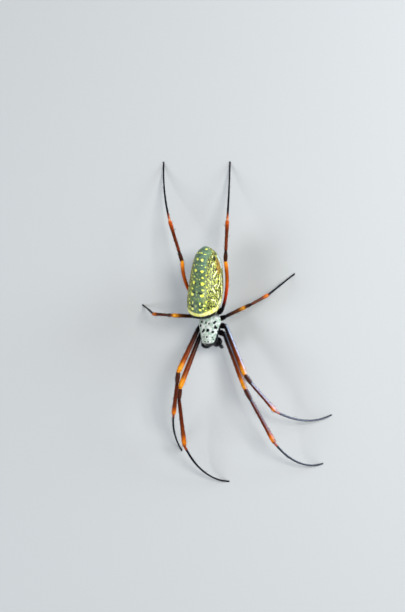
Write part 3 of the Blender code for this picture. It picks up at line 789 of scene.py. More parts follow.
# The first ring is set back into the body, and the last tenth of the foot flattens into the sole.
ROOT_SINK = 0.75
TOE = 5.0
SOLE_FROM = 4.9
SOLE_RADIUS = 0.3


def heading(azimuth, elevation):
    azimuth, elevation = radians(azimuth), radians(elevation)
    return Vector((cos(elevation) * sin(azimuth), -cos(elevation) * cos(azimuth), sin(elevation)))


def leg_corners(number, side):
    x, y, z = FEMUR_ROOT[number]
    corners = [mirrored([COXA_ROOT[number]], side)[0], Vector((SIDES[side] * x, y, z))]
    for length, angles in zip(LENGTHS[number, side][:3], POSE[number, side][:3]):
        corners.append(corners[-1] + length * heading(*angles))
    return corners


def foot_path(start, length, first, last, turn):
    """Points and headings along a foot that ends at the floor. Its slope is corrected to reach it."""
    low, high = -30.0, 30.0
    for _ in range(40):
        lean = 0.5 * (low + high)
        points, ways = [start], []
        for step in range(FOOT_STEPS):
            share = (step + 0.5) / FOOT_STEPS
            azimuth = first[0] + (last[0] - first[0]) * share ** turn
            ways.append(heading(azimuth, first[1] + (last[1] - first[1]) * share + lean))
            points.append(points[-1] + ways[-1] * (length / FOOT_STEPS))
        low, high = (low, lean) if points[-1].z > 0 else (lean, high)
    return points, ways + ways[-1:]


print("leg measures ready for", len(POSE), "legs")


# %% [markdown]
# ## Rings of a leg
# Each ring is a centre, a direction and a radius. The thigh of the hind legs bows outward round the
# abdomen, and the foot curves down to its small flat sole. The number kept with each ring runs from
# 0 at the body to 5 at the toe, one for each tube, and the colours are laid out on it.


# %% Build a leg skin
def leg_line(number, side):
    """Rings of a leg: centre, direction, radius, and the number that runs from 0 to 5."""
    girth = GIRTH[number]
    corners = leg_corners(number, side)
    first, last = POSE[number, side][3:]
    points, ways = foot_path(corners[4], LENGTHS[number, side][3], first, last, FOOT_TURN[number])
    rings = []
    for index, segment in enumerate(SEGMENTS):
        count = RINGS[segment]
        stretch = {"coxa": girth ** 0.5, "foot": max(girth, 0.94)}.get(segment, girth)
        for step in range(count):
            share = step / (count - 1)
            if segment == "foot":
                spot = share * FOOT_STEPS
                here = min(int(spot), FOOT_STEPS - 1)
                centre = points[here].lerp(points[here + 1], spot - here)
                way = ways[here].lerp(ways[here + 1], spot - here)
            else:
                start, end = corners[index], corners[index + 1]
                way = end - start
                centre = start + way * share
                if segment == "femur" and number in BOW:
                    sideways = Vector((-way.y, way.x, 0.0)).normalized()
                    sideways *= 1 if sideways.x * start.x > 0 else -1
                    bulge = sideways * BOW[number][0] + Vector((0.0, 0.0, BOW[number][1]))
                    centre = centre + bulge * (4 * share * (1 - share))
                    way = way + bulge * (4 * (1 - 2 * share))
            radius = WIDTH_AT[segment](share) * stretch
            if segment == "femur":
                radius *= 1 - THIGH_SLIM.get(number, 0.0) * slim_at(share)
            rings.append([centre, way.normalized(), radius, index + share])
    return corners, rings


def around(centre, way, radius, turn, reference=(0.0, 0.0, 1.0)):
    """A point of the ring round a centre, seen along a way."""
    across = way.cross(Vector(reference)).normalized()
    over = across.cross(way)
    return centre + across * (radius * cos(turn)) + over * (radius * sin(turn))


def painted_sheen_along(thigh, shin, foot):
    """How strong the painted sheen is along a leg, from how strong it is on its three long parts."""
    places = (0.6, 1.05, 1.9, 2.1, 2.9, 3.1, 3.95, 4.1, 5.0)
    return smooth_through(places, (0, thigh, thigh, 0.3 * thigh, 0.3 * thigh, shin, shin, foot, foot))


def leg_skin(number, side):
    corners, rings = leg_line(number, side)
    root_way = rings[0][1]
    rings.insert(0, [rings[0][0] - root_way * ROOT_SINK, root_way, rings[0][2] * 0.9, 0.0])
    spans = []
    for segment in SEGMENTS:
        first = spans[-1][1] + 1 if spans else 1
        spans.append((first, first + RINGS[segment] - 1))
    joints = []
    for before, after, corner in zip(spans, spans[1:], corners[1:]):
        joints.append((before, after, corner, (rings[before[1]][1] + rings[after[0]][1]).normalized()))
    last = len(rings)
    sole, sole_way = rings[-1][:2]
    ahead = (sole_way.x, sole_way.y, 0.0)
    painted_sheen_at = painted_sheen_along(*PAINTED_SHEEN_SIDE.get((number, side), (0.0, 0.0, 0.0)))

    def point_at(step, turn):
        ring = step - 1
        centre, way, radius, reach = rings[min(max(ring, 0), last - 1)]
        if step in (0, last + 1):
            return centre.copy(), Vector((reach, 0.0, 0.0))
        point = around(centre, way, radius, turn)
        outward = (point - centre).normalized()
        toward = (PAINTED_SHEEN_TOWARD - way * PAINTED_SHEEN_TOWARD.dot(way)).normalized()
        facing = rising(outward.dot(toward), *PAINTED_SHEEN_FACING)
        # How strong the painted sheen is at this point, kept as the third number.
        pale = painted_sheen_at(reach) * facing * rising(outward.z, *PAINTED_SHEEN_ABOVE)
        for before, after, corner, face in joints:
            past = (point - corner).dot(face)
            if before[0] <= ring <= before[1] and past > -CREASE:
                point = point - way * ((past + CREASE) / way.dot(face))
            elif after[0] <= ring <= after[1] and past < CREASE:
                point = point + way * ((CREASE - past) / way.dot(face))
        if reach > SOLE_FROM:
            flat = around(sole, Vector((0.0, 0.0, -1.0)), SOLE_RADIUS, turn, ahead)
            point = point.lerp(flat, ((reach - SOLE_FROM) / (TOE - SOLE_FROM)) ** 1.5)
            point.z = max(point.z, 0.0)
        return point, Vector((reach, turn, pale))

    return drawn_out(len(rings), LEG_SIDES, point_at)


print("leg rings ready")

# %% [markdown]
# ## Banded leg colours
# The legs are black at the hips, red-brown to orange on the thighs with a bright end, black at the
# knee pieces and feet, and red-brown with an orange end on the shins. The feet's blue tint is a painted
# reflection of the sky, and the pale end of the hind shins is a painted highlight. A colour ramp over the
# kept number gives the bands. A painted blue-white sheen, the sun's reflection, lies on the upper outer
# side of the left forelegs, so each skin also keeps how strong it is at a point. A thin clear coat and a
# fine noise keep the tint and gloss from being even.

# %% Leg finishes
BLACK = (0.003, 0.003, 0.0045)
# The feet's black, tinted with a painted blue reflection of the sky.
FOOT_BLACK_PAINTED_SKY_BLUE = (0.002, 0.005, 0.011)
KNEE = (0.07, 0.016, 0.007)
LEG_BANDS = {
    "front_leg": (
        (0.0, BLACK), (1.12, BLACK), (1.3, (0.05, 0.011, 0.004)), (1.5, (0.15, 0.027, 0.004)),
        (1.7, (0.27, 0.042, 0.003)), (1.79, (0.42, 0.09, 0.004)), (1.87, (0.93, 0.3, 0.006)),
        (1.97, (0.95, 0.38, 0.008)), (2.02, (0.75, 0.17, 0.006)), (2.04, BLACK), (2.14, KNEE),
        (2.5, (0.085, 0.02, 0.008)), (2.9, KNEE), (3.01, BLACK), (3.05, (0.1, 0.013, 0.003)),
        (3.45, (0.13, 0.018, 0.003)), (3.74, (0.22, 0.035, 0.003)), (3.84, (0.66, 0.13, 0.004)),
        (3.92, (0.92, 0.27, 0.006)), (3.985, (0.6, 0.11, 0.006)), (4.0, (0.1, 0.02, 0.006)),
        (4.015, (0.55, 0.08, 0.008)), (4.06, (0.42, 0.06, 0.008)), (4.08, FOOT_BLACK_PAINTED_SKY_BLUE), (5.0, FOOT_BLACK_PAINTED_SKY_BLUE),
    ),
    "third_leg": (
        (0.0, BLACK), (1.1, BLACK), (1.3, (0.05, 0.012, 0.004)), (1.62, (0.14, 0.035, 0.006)),
        (1.73, (0.3, 0.085, 0.008)), (1.84, (0.9, 0.34, 0.012)), (1.94, (0.95, 0.42, 0.03)),
        (2.0, (0.4, 0.1, 0.012)), (2.03, BLACK), (2.12, (0.11, 0.028, 0.01)), (2.85, (0.06, 0.018, 0.008)),
        (2.98, BLACK), (3.08, (0.13, 0.028, 0.008)), (3.5, (0.1, 0.022, 0.006)),
        (3.64, (0.14, 0.03, 0.006)), (3.78, (0.6, 0.13, 0.008)), (3.93, (0.8, 0.2, 0.012)),
        (3.99, (0.2, 0.03, 0.01)), (4.05, FOOT_BLACK_PAINTED_SKY_BLUE), (5.0, FOOT_BLACK_PAINTED_SKY_BLUE),
    ),
    "hind_leg": (
        (0.0, BLACK), (1.08, BLACK), (1.16, (0.16, 0.008, 0.002)), (1.32, (0.56, 0.032, 0.002)),
        (1.45, (0.68, 0.06, 0.002)), (1.62, (0.5, 0.085, 0.004)), (1.82, (0.4, 0.07, 0.003)),
        (1.92, (0.88, 0.24, 0.006)), (2.0, (0.95, 0.36, 0.01)), (2.05, (0.7, 0.16, 0.008)), (2.07, BLACK),
        (2.2, KNEE), (2.85, (0.055, 0.016, 0.008)), (3.0, BLACK), (3.06, (0.2, 0.028, 0.003)),
        (3.3, (0.16, 0.024, 0.003)), (3.62, (0.14, 0.022, 0.003)), (3.78, (0.3, 0.042, 0.003)),
        # The pale stop at 4.0, where the shin ends, is a painted highlight.
        (3.87, (0.6, 0.09, 0.005)), (3.95, (0.72, 0.13, 0.01)), (4.0, (0.9, 0.42, 0.2)),
        (4.04, (0.66, 0.16, 0.06)), (4.1, (0.16, 0.028, 0.008)), (4.16, FOOT_BLACK_PAINTED_SKY_BLUE), (5.0, FOOT_BLACK_PAINTED_SKY_BLUE),
    ),
}
# How strong the painted sheen is on the side that faces the picture's right: on thigh and knee, shin, and
# foot.
PAINTED_SHEEN_SIDE = {(1, "left"): (0.8, 0.25, 0.15), (2, "left"): (1.0, 0.62, 0.3)}
PAINTED_SHEEN_TOWARD = Vector((1.0, 0.0, 0.12))
# Where its edges rise: by how far a point faces that way, and by how far it faces up.
PAINTED_SHEEN_FACING = (0.55, 0.35)
PAINTED_SHEEN_ABOVE = (-0.3, 0.35)
PAINTED_SHEEN_BLUE_WHITE = (0.62, 0.72, 0.95)
LEG_SHADE = (0.02, 0.006, 0.004)


def leg_finish(name):
    made, shader = new_finish(
        name + "_shell", Coat_Weight=0.07, Coat_Roughness=0.1, Specular_IOR_Level=0.09,
        Sheen_Weight=0.02, Sheen_Roughness=0.3, Sheen_Tint=(0.7, 0.84, 1.0),
    )
    coords = coordinates(made)
    reach, _, pale = kept(made).parts()
    clouds = noise(coords, 700.0, 3.0)
    grain = noise(coords, 6500.0, 2.0)
    ramp = (((clouds - 0.5) * 0.04 + reach) / TOE).through("ValToRGB", {})
    stops = ramp.socket.node.color_ramp.elements
    while len(stops) < len(LEG_BANDS[name]):
        stops.new(0.5)
    for stop, (number, colour) in zip(stops, LEG_BANDS[name]):
        stop.position = number / TOE
        stop.color = (*colour, 1.0)
    shade = mixed(clouds.eased(0.3, 0.7, 0.0, 0.35), ramp, LEG_SHADE)
    # Painted sheen: the sun's blue-white reflection laid as colour on the upper outer side of the left
    # forelegs.
    shade = mixed(pale * grain.eased(0.38, 0.56, 0.3, 1.0), shade, PAINTED_SHEEN_BLUE_WHITE)
    link_up(shader, shade, grain * 0.25 + 0.18, grain, 0.35, 0.04)
    return made


print("leg finishes described:", ", ".join(LEG_BANDS))

# %% Dress the legs
leg_meshes = {key: leg_skin(*key) for key in POSE}
print("leg skins:", sum(len(bm.faces) for bm in leg_meshes.values()), "faces")
LEG_FINISHES = {name: leg_finish(name) for name in LEG_BANDS}
LEG_KIND = {1: "front_leg", 2: "front_leg", 3: "third_leg", 4: "hind_leg"}
LEG_SLOT = {1: "red_brown", 2: "red_brown", 3: "brown", 4: "orange_red"}
for (number, side), bm in leg_meshes.items():
    stem = "leg_%d_%s_" % (number, side)
    nodes = [stem + part for part in ("coxa", "femur", "tibia", "metatarsus")]
    finished(bm, stem + "skin", LEG_FINISHES[LEG_KIND[number]], LEG_SLOT[number], *nodes)
print("legs finished:", ", ".join(LEG_FINISHES))

# %% [markdown]
# ## Jaws, feelers and waist
# Two stout jaws hang from the head's front and end in a curved fang. Beside them the feelers reach
# down like small legs. A thin waist joins fore body and abdomen. All of them are tubes along a
# smooth line through a few points, so one helper makes them.


# %% Tubes along a line
def tube(path, radii, rings, sides, reference=(0.0, 1.0, 0.0), pinches=(), sink=0.0):
    """A closed tube through the points. Pinches are (share of the length, depth, width) of its creases."""
    points = [Vector(p) for p in path]
    if sink:
        points.insert(0, points[0] - (points[1] - points[0]).normalized() * sink)
        radii = (radii[0], *radii)
    length = [0.0]
    for one, two in zip(points, points[1:]):
        length.append(length[-1] + (two - one).length)
    curves = [smooth_through(length, [p[axis] for p in points]) for axis in range(3)]
    radius_at = smooth_through(length, radii)
    total = length[-1]

    def at(distance):
        return Vector([curve(distance) for curve in curves])

    def point_at(step, turn):
        share = rising(step, 1, rings - 1)
        distance = share * total
        centre = at(distance)
        if step in (0, rings + 1):
            return centre, Vector((share, 0.0, 0.0))
        way = (at(min(distance + 0.02, total)) - at(max(distance - 0.02, 0.0))).normalized()
        radius = radius_at(distance)
        for where, depth, width in pinches:
            radius *= 1 - depth * valley((share - where) * total, width)
        end = rising((1.0 - share) * total, 0.0, radius)
        radius *= (1 - (1 - end) ** 2) ** 0.5
        return around(centre, way, radius, turn, reference), Vector((share, turn, 0.0))

    return drawn_out(rings, sides, point_at)


print("tube helper ready")

# %% [markdown]
# ## A glossy black shell
# Jaws, feelers and waist share one finish: blue-black shell, polished, with faint pores. The fang turns
# dark red toward its tip.


# %% Black shell
BLUE_BLACK = ((0.002, 0.0025, 0.004), (0.007, 0.008, 0.012))
FANG_TIP = (0.16, 0.02, 0.008)


def black_shell(name, tip=None):
    made, shader = new_finish(name, Coat_Weight=0.05, Coat_Roughness=0.1, Specular_IOR_Level=0.12)
    coords = coordinates(made)
    colour = mixed(noise(coords, 800.0, 3.0).eased(0.35, 0.65), *BLUE_BLACK)
    if tip:
        colour = mixed(kept(made).parts()[0].eased(0.35, 0.95), colour, tip)
    pores = noise(coords, 5000.0, 2.0)
    link_up(shader, colour, pores * 0.2 + 0.1, pores, 0.3, 0.03)
    return made


BLACK_SHELL = black_shell("black_shell")
FANG_SHELL = black_shell("fang_shell", FANG_TIP)
JAW_PATH = ((1.2, -6.65, 8.15), (1.27, -6.95, 7.6), (1.3, -7.2, 6.6), (1.28, -7.2, 5.5), (1.12, -7.05, 4.5))
JAW_RADIUS = (0.86, 1.05, 1.12, 1.05, 0.74)
FANG_PATH = ((1.0, -7.05, 4.15), (0.86, -7.17, 3.75), (0.62, -7.0, 3.35), (0.36, -6.6, 3.2))
FANG_RADIUS = (0.42, 0.36, 0.26, 0.06)
FEELER_PATH = (
    (1.3, -5.45, 6.95), (1.95, -5.55, 7.0), (2.7, -5.8, 7.25), (3.15, -6.5, 7.6), (3.24, -7.4, 7.64),
    (3.15, -8.05, 7.05), (3.02, -8.32, 6.2), (2.85, -8.42, 5.3), (2.6, -8.4, 4.5), (2.3, -8.3, 3.75),
)
FEELER_RADIUS = (0.44, 0.58, 0.54, 0.6, 0.52, 0.52, 0.45, 0.48, 0.46, 0.2)
FEELER_CREASES = ((0.16, 0.2, 0.12), (0.45, 0.24, 0.12), (0.58, 0.24, 0.12), (0.76, 0.22, 0.12))
for side in SIDES:
    jaw_path, fang_path, feeler_path = (mirrored(path, side) for path in (JAW_PATH, FANG_PATH, FEELER_PATH))
    jaw = tube(jaw_path, JAW_RADIUS, 40, 32, sink=0.7)
    finished(jaw, "jaw_" + side, BLACK_SHELL, "black", "chelicera_" + side)
    fang = tube(fang_path, FANG_RADIUS, 26, 16, sink=0.5)
    finished(fang, "fang_claw_" + side, FANG_SHELL, "black", "fang_" + side)
    feeler = tube(feeler_path, FEELER_RADIUS, 90, 20, (0.0, 0.3, 1.0), FEELER_CREASES, sink=0.4)
    finished(feeler, "feeler_" + side, BLACK_SHELL, "black", "palp_femur_" + side, "palp_tip_" + side)
print("jaws, fangs and feelers made")

# %% [markdown]
# ## Waist and spinnerets
# The waist is a short stalk from the rear of the thorax to the abdomen's underside. Near the hind
# end, below, six spinning teats stand on a low mound, with a small knob behind them.

# %% Make waist and spinnerets
WAIST_ROOT = (0.0, 3.2, 8.7)
WAIST_SLANT = (0.0, 0.86, 0.5)
waist_end, _ = seat(abdomen_tree, (0.0, 3.66, 8.95), WAIST_SLANT)
waist_end = waist_end + Vector(WAIST_SLANT) * 0.4
waist_mid = Vector(WAIST_ROOT).lerp(waist_end, 0.5)
waist = tube((WAIST_ROOT, waist_mid, waist_end), (0.56, 0.5, 0.66), 24, 24, (1.0, 0.0, 0.0))
finished(waist, "waist", BLACK_SHELL, "black", "pedicel")

SPINNERET_Y = 20.2
# Each teat: its place aside and behind, its lean out and back in degrees, its length and its radius.
SPINNERETS = (
    (0.58, -0.5, 14, -18, 1.45, 0.46),
    (0.6, 0.55, 14, 22, 1.3, 0.42),
    (0.24, 0.05, 4, 0, 0.95, 0.26),
)
KNOB = (0.0, 1.15, 0, 30, 0.75, 0.4)
TEAT_BROWN = ((0.05, 0.02, 0.01), (0.13, 0.06, 0.028))
TEAT_TIP = (0.32, 0.2, 0.1)


def brown_shell():
    made, shader = new_finish("brown_shell", Roughness=0.4, Coat_Weight=0.15)
    grain = noise(coordinates(made), 3000.0, 3.0)
    tip = kept(made).parts()[0].eased(0.75, 1.0, 0.0, 0.8)
    colour = mixed(tip, mixed(grain.eased(0.35, 0.65), *TEAT_BROWN), TEAT_TIP)
    link_up(shader, colour, height=grain, strength=0.4, depth=0.05)
    return made


def joined(target, pieces):
    """Adds the pieces' faces to the target bmesh, as one mesh."""
    for piece in pieces:
        held = bpy.data.meshes.new("held")
        piece.to_mesh(held)
        piece.free()
        target.from_mesh(held)
        bpy.data.meshes.remove(held)
    return target


foot_point, foot_normal = seat(abdomen_tree, (0.0, SPINNERET_Y, 0.0), (0.0, 0.0, 1.0))
back_way = Vector((0.0, -foot_normal.z, foot_normal.y)).normalized()
across_way = Vector((1.0, 0.0, 0.0))
foot = foot_point + foot_normal * 0.2
mound_path = [foot_point + foot_normal * height for height in (-0.6, 0.0, 0.6)]
mound = tube(mound_path, (1.45, 1.4, 1.0), 20, 40, (1.0, 0.0, 0.0))
teats = []
for sign in (1, -1):
    for aside, behind, out, rear, length, radius in SPINNERETS + (KNOB,) * (sign == 1):
        start = foot + across_way * (sign * aside) + back_way * behind
        lean = across_way * (sign * sin(radians(out))) + back_way * sin(radians(rear))
        way = (foot_normal + lean).normalized()
        path = [start + way * length * share for share in (0.0, 0.35, 0.75, 1.12)]
        girths = (radius, radius, 0.82 * radius, 0.5 * radius)
        teats.append(tube(path, girths, 22, 18, (1.0, 0.0, 0.1), ((0.55, 0.14, 0.08),)))
finished(joined(mound, teats), "spinning_teats", brown_shell(), "brown", "spinnerets")
print("waist and", len(teats), "spinning teats made")

# %% [markdown]
# ## Eight eyes
# The eyes are small black lenses in two rows, four in front and four above. Each is a ball sunk to a
# little less than half in a low collar on the head. A lens needs only black with a hard gloss.

# %% Make the eyes
FRONT_EYES = {"anterior_median": (0.42, 10.3, 0.25), "anterior_lateral": (1.95, 9.95, 0.2)}
TOP_EYES = {"posterior_median": (0.55, -6.8, 0.25), "posterior_lateral": (2.1, -6.6, 0.2)}
CLEAR_AHEAD = 3.5
EYE_START_Z = 15.65


def two_blacks(name, scale, detail, dark, light, **steady):
    """A finish of two near blacks in soft clouds."""
    made, shader = new_finish(name, **steady)
    link_up(shader, mixed(noise(coordinates(made), scale, detail), dark, light))
    return made


LENS_BLACKS = ((0.004, 0.004, 0.006), (0.02, 0.014, 0.012))
LENS_LOOK = {"Roughness": 0.05, "Coat_Weight": 1.0, "Coat_Roughness": 0.02}
LENS = two_blacks("eye_lens", 3000.0, 1.0, *LENS_BLACKS, **LENS_LOOK)


def eye(name, side, start, way, radius):
    point, normal = seat(thorax_tree, start, way)
    collar_path = [point - normal * radius, point + normal * 0.1 * radius, point + normal * 0.34 * radius]
    collar = tube(collar_path, (1.75 * radius, 1.5 * radius, 1.02 * radius), 14, 24, (1.0, 0.0, 0.1))
    finished(collar, "collar_%s_%s" % (name, side), BLACK_SHELL, "black")
    ball = bmesh.new()
    bmesh.ops.create_uvsphere(ball, u_segments=32, v_segments=20, radius=radius)
    bmesh.ops.translate(ball, vec=point + normal * 0.25 * radius, verts=ball.verts)
    finished(ball, "lens_%s_%s" % (name, side), LENS, "eye", "eye_%s_%s" % (name, side))


for side, sign in SIDES.items():
    for name, (aside, height, radius) in FRONT_EYES.items():
        x = turned(sign * aside, THORAX_FRONT, height).x
        eye(name, side, (x, THORAX_FRONT - CLEAR_AHEAD, height), (0.0, 1.0, 0.0), radius)
    for name, (aside, y, radius) in TOP_EYES.items():
        x = turned(sign * aside, y, 0.0).x
        eye(name, side, (x, y - CLEAR_AHEAD, EYE_START_Z), (0.0, 1.0, -1.0), radius)
print("eyes made: 8")

# %% [markdown]
# ## Hairs and bristles
# The shield wears a nap of flat silver hairs, the legs carry fine short hairs and a few stiff spines, and
# the abdomen has sparse down. Each hair is a thin solid blade, bent once so that it lies along the
# body. Roots are scattered by area over a skin, and the direction of growth is the way in which one of
# the kept numbers rises, or else straight down. A hair keeps the numbers of its root, so the skin's own
# finish gives it the same markings. Each is also a tiny patch at its root's place in a second layout for
# baking. The sphere operator doesn't always number its faces alike, so they are put in order before the
# draws, and every run grows the same hairs.


# %% Helpers for hairs
def from_lowest(face):
    """The face's vertex numbers in the same sense of turning, from the lowest on."""
    ring = list(face.vertices)
    start = ring.index(min(ring))
    return ring[start:] + ring[:start]


def scattered(skin, count, seed, flow):
    """Roots on a skin: points, outward normals, growth directions, kept numbers and unwrap places."""
    mesh = skin.data
    places = np.empty(len(mesh.vertices) * 3)
    mesh.vertices.foreach_get("co", places)
    places = places.reshape(-1, 3)
    rings = sorted(from_lowest(face) for face in mesh.polygons)
    corners = np.array([(ring[0], ring[i], ring[i + 1]) for ring in rings for i in range(1, len(ring) - 1)])
    numbers = {}
    for name in ("place", "unwrap"):
        values = np.empty(len(mesh.vertices) * 3, np.float32)
        mesh.attributes[name].data.foreach_get("vector", values)
        numbers[name] = values.reshape(-1, 3)[corners]
    tri = places[corners]
    cross = np.cross(tri[:, 1] - tri[:, 0], tri[:, 2] - tri[:, 0])
    area = np.linalg.norm(cross, axis=1)
    face_normal = cross / np.maximum(area, 1e-15)[:, None]
    if flow:
        axis, sign = flow
        level = numbers["place"][:, :, axis, None] * sign
        sides = tri[:, (2, 0, 1)] - tri[:, (1, 2, 0)]
        rise = sum(level[:, i] * np.cross(face_normal, sides[:, i]) for i in range(3))
    else:
        down = np.array((0.0, 0.0, -1.0))
        rise = down - face_normal * (face_normal @ down)[:, None]
    chance = np.random.default_rng(seed)
    face = chance.choice(len(corners), count, p=area / area.sum())
    one, two = chance.random((2, count))
    flip = one + two > 1
    one[flip], two[flip] = 1 - one[flip], 1 - two[flip]
    weight = np.stack([1 - one - two, one, two], axis=1)[:, :, None]
    point = (tri[face] * weight).sum(axis=1)
    way = rise[face] / np.maximum(np.linalg.norm(rise[face], axis=1), 1e-15)[:, None]
    place, unwrap = ((numbers[name][face] * weight).sum(axis=1) for name in ("place", "unwrap"))
    return point, face_normal[face], way, place, unwrap, chance


BLADE_FACES = ((2, 1, 0), (0, 1, 4, 3), (1, 2, 5, 4), (2, 0, 3, 5), (3, 4, 6), (4, 5, 6), (5, 3, 6))
BLADE_PATCH = np.array(((0, 0), (0.5, 0), (1, 0), (0, 0.5), (0.5, 0.5), (1, 0.5), (0.5, 1))) * 0.003
ALONG = (0, 1)


def hairs(name, skin, count, length, radius, lean, flow, finish, slot, seed, keep=None, girdle=None):
    """One mesh of many bent blades on a skin. Length and radius are in millimetres, lean in degrees.

    keep gives the chance that a hair stays at a kept place. girdle gives how far round the body it is.
    """
    point, normal, way, place, unwrap, chance = scattered(skin, count, seed, flow)
    if keep:
        stay = np.array([chance.random() < keep(spot) for spot in place])
        point, normal, way, place, unwrap = (a[stay] for a in (point, normal, way, place, unwrap))
    total = len(point)
    side = np.cross(way, normal)
    yaw = radians(22) * chance.standard_normal(total)[:, None]
    way = way * np.cos(yaw) + side * np.sin(yaw)
    side = np.cross(way, normal)
    tall = length * MM * (0.65 + 0.7 * chance.random(total))[:, None]
    wide = radius * MM * (0.8 + 0.4 * chance.random(total))[:, None]
    tilt = radians(lean) * (0.7 + 0.6 * chance.random(total))[:, None]
    knee = point + (way * np.cos(tilt) + normal * np.sin(tilt)) * tall * 0.5
    tip = knee + (way * np.cos(0.4 * tilt) + normal * np.sin(0.4 * tilt)) * tall * 0.5
    root = point - normal * wide
    blade = np.empty((total, 7, 3))
    for i, turn in enumerate((-pi / 2, pi / 6, 5 * pi / 6)):
        out = side * cos(turn) + normal * sin(turn)
        blade[:, i] = root + out * wide
        blade[:, 3 + i] = knee + out * wide * 0.7
    blade[:, 6] = tip
    blade[:, :, 2] = np.maximum(blade[:, :, 2], 0.0)
    faces = [tuple(i * 7 + k for k in face) for i in range(total) for face in BLADE_FACES]
    mesh = bpy.data.meshes.new(name)
    mesh.from_pydata(blade.reshape(-1, 3).tolist(), [], faces)
    kept_place = mesh.attributes.new("place", "FLOAT_VECTOR", "POINT")
    kept_place.data.foreach_set("vector", np.repeat(place, 7, axis=0).ravel())
    if girdle:
        turns = np.array([girdle(p) for p in point])
        mesh.attributes.new("girdle", "FLOAT", "POINT").data.foreach_set("value", np.repeat(turns, 7))
    across = np.where(unwrap[:, 2] > 0.5, 0.5 + 0.5 * unwrap[:, 0], 0.5 - 0.5 * unwrap[:, 0])
    patch = np.stack([across, unwrap[:, 1]], axis=1)[:, None, :] * 0.99 + BLADE_PATCH
    corner = np.empty(len(mesh.loops), int)
    mesh.loops.foreach_get("vertex_index", corner)
    mesh.uv_layers.new(name="OFBake").data.foreach_set("uv", patch.reshape(-1, 2)[corner].ravel())
    mesh.materials.append(finish)
    made = placed(name, mesh)
    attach(made, "root")
    return total


print("hair helpers ready")

# %% [markdown]
# ## The silver nap and the abdomen's down
# The nap is dense on the shield's top and left out on the bare dots, as it is worn off there. The
# abdomen's hairs are short, fine and sparse.

# %% Grow the nap and the down
NAP_LENGTH = 0.36
NAP_ENDS = (-7.15, 2.9)
# A bare dot is a little wider in the nap than in the skin, and set back by a third of a hair.
NAP_MARGIN = 1.5


def nap_stays(place):
    """1 where the nap grows at a kept place, else 0."""
    x, y, top = place
    if top < 0.5 or not NAP_ENDS[0] < y < NAP_ENDS[1]:
        return 0.0
    middle = HEAD_TURN * min(0.0, y - THORAX_REAR)
    if abs(x - middle) > SILVER_HALF + SILVER_FLARE * y - SILVER_ROUND * max(0.0, SILVER_NOSE - y) ** 2:
        return 0.0
    for across, along, half_across, half_along in BARE_DOTS:
        back = y - along - NAP_LENGTH / 3
        if ((x - across) / half_across) ** 2 + (back / half_along) ** 2 < NAP_MARGIN:
            return 0.0
    return 1.0


def turn_at(point):
    """How far round the abdomen a point lies from the back's middle."""
    spot = (Vector(point) - ORIGIN) / MM
    fraction = (spot.y - ABDOMEN_FRONT) / ABDOMEN_LENGTH
    return atan2(abs(spot.x), spot.z - abdomen_middle(fraction))


nap = (30000, NAP_LENGTH, 0.022, 14, (1, -1), SHIELD_FINISH, "silver_grey", 3, nap_stays)
down = (7000, 0.36, 0.011, 30, (1, 1), ABDOMEN_FINISH, "olive", 4, None, turn_at)
print("hairs on the body:", hairs("shield_nap", shield, *nap) + hairs("abdomen_down", abdomen_skin, *down))

# %% [markdown]
# ## Hairs and spines of the legs, jaws and feelers
# Fine hairs point down the leg and stand a little off it. The spines are fewer, thick and black, on knee,
# shin and foot. The feelers, the jaws and the face are bristly.


# %% Grow the leg hairs
BRISTLE_BLACKS = ((0.003, 0.002, 0.003), (0.012, 0.008, 0.007))
BRISTLE_LOOK = {"Roughness": 0.45, "Specular_IOR_Level": 0.12}
BRISTLE = two_blacks("dark_bristle", 900.0, 2.0, *BRISTLE_BLACKS, **BRISTLE_LOOK)
# A leg of this length in millimetres has as many hairs as the table says.
USUAL_LEG = 60.0
# Bristles of the head's black front: where it begins, and the share of them that grows.
FACE_FROM = -6.2
FACE_SHARE = 0.55


def between(*spans):
    """Hairs stay where the first kept number lies in one of the spans."""
    return lambda place: float(any(low < place[0] < high for low, high in spans))


def face_hair_stays(place):
    return FACE_SHARE if place[1] < FACE_FROM and not nap_stays(place) else 0.0


LEG_HAIR = between((0.15, 4.94))
SPINES = between((1.15, 1.95), (2.1, 2.9), (3.05, 3.95), (4.03, 4.6))
# Count, length, radius, lean, more on the seed, and where they stay.
LEG_HAIRS = {
    "hair": (3000, 0.48, 0.015, 26, 0, LEG_HAIR),
    "bristles": (420, 0.66, 0.018, 36, 20, LEG_HAIR),
    "spines": (44, 1.35, 0.05, 36, 40, SPINES),
    "hip_hair": (2400, 0.6, 0.016, 42, 60, between((0.3, 1.15))),
}
grown = 0
for number, side in POSE:
    stem = "leg_%d_%s_" % (number, side)
    skin = bpy.data.objects[stem + "skin"]
    area = sum(LENGTHS[number, side]) * GIRTH[number] / USUAL_LEG
    seed = 10 + 2 * number + (side == "left")
    for kind, (count, *shape, more, stays) in LEG_HAIRS.items():
        look = (LEG_FINISHES[LEG_KIND[number]], LEG_SLOT[number]) if kind == "hair" else (BRISTLE, "black")
        grown += hairs(stem + kind, skin, int(count * area), *shape, ALONG, *look, seed + more, stays)
grown += hairs("face_bristles", shield, 9000, 0.42, 0.015, 34, None, BRISTLE, "black", 9, face_hair_stays)
for side in SIDES:
    for name, count, long in (("jaw_", 360, 0.5), ("feeler_", 460, 0.62)):
        skin = bpy.data.objects[name + side]
        look = (long, 0.018, 36, ALONG, BRISTLE, "black", 70 + len(name))
        grown += hairs(name + side + "_hair", skin, count, *look)
print("hairs on legs, jaws, feelers and face:", grown)

# %% [markdown]
# ## Claws
# Each foot ends in a pair of small hooked claws. They are short black tubes with a point, kept just
# above the floor.

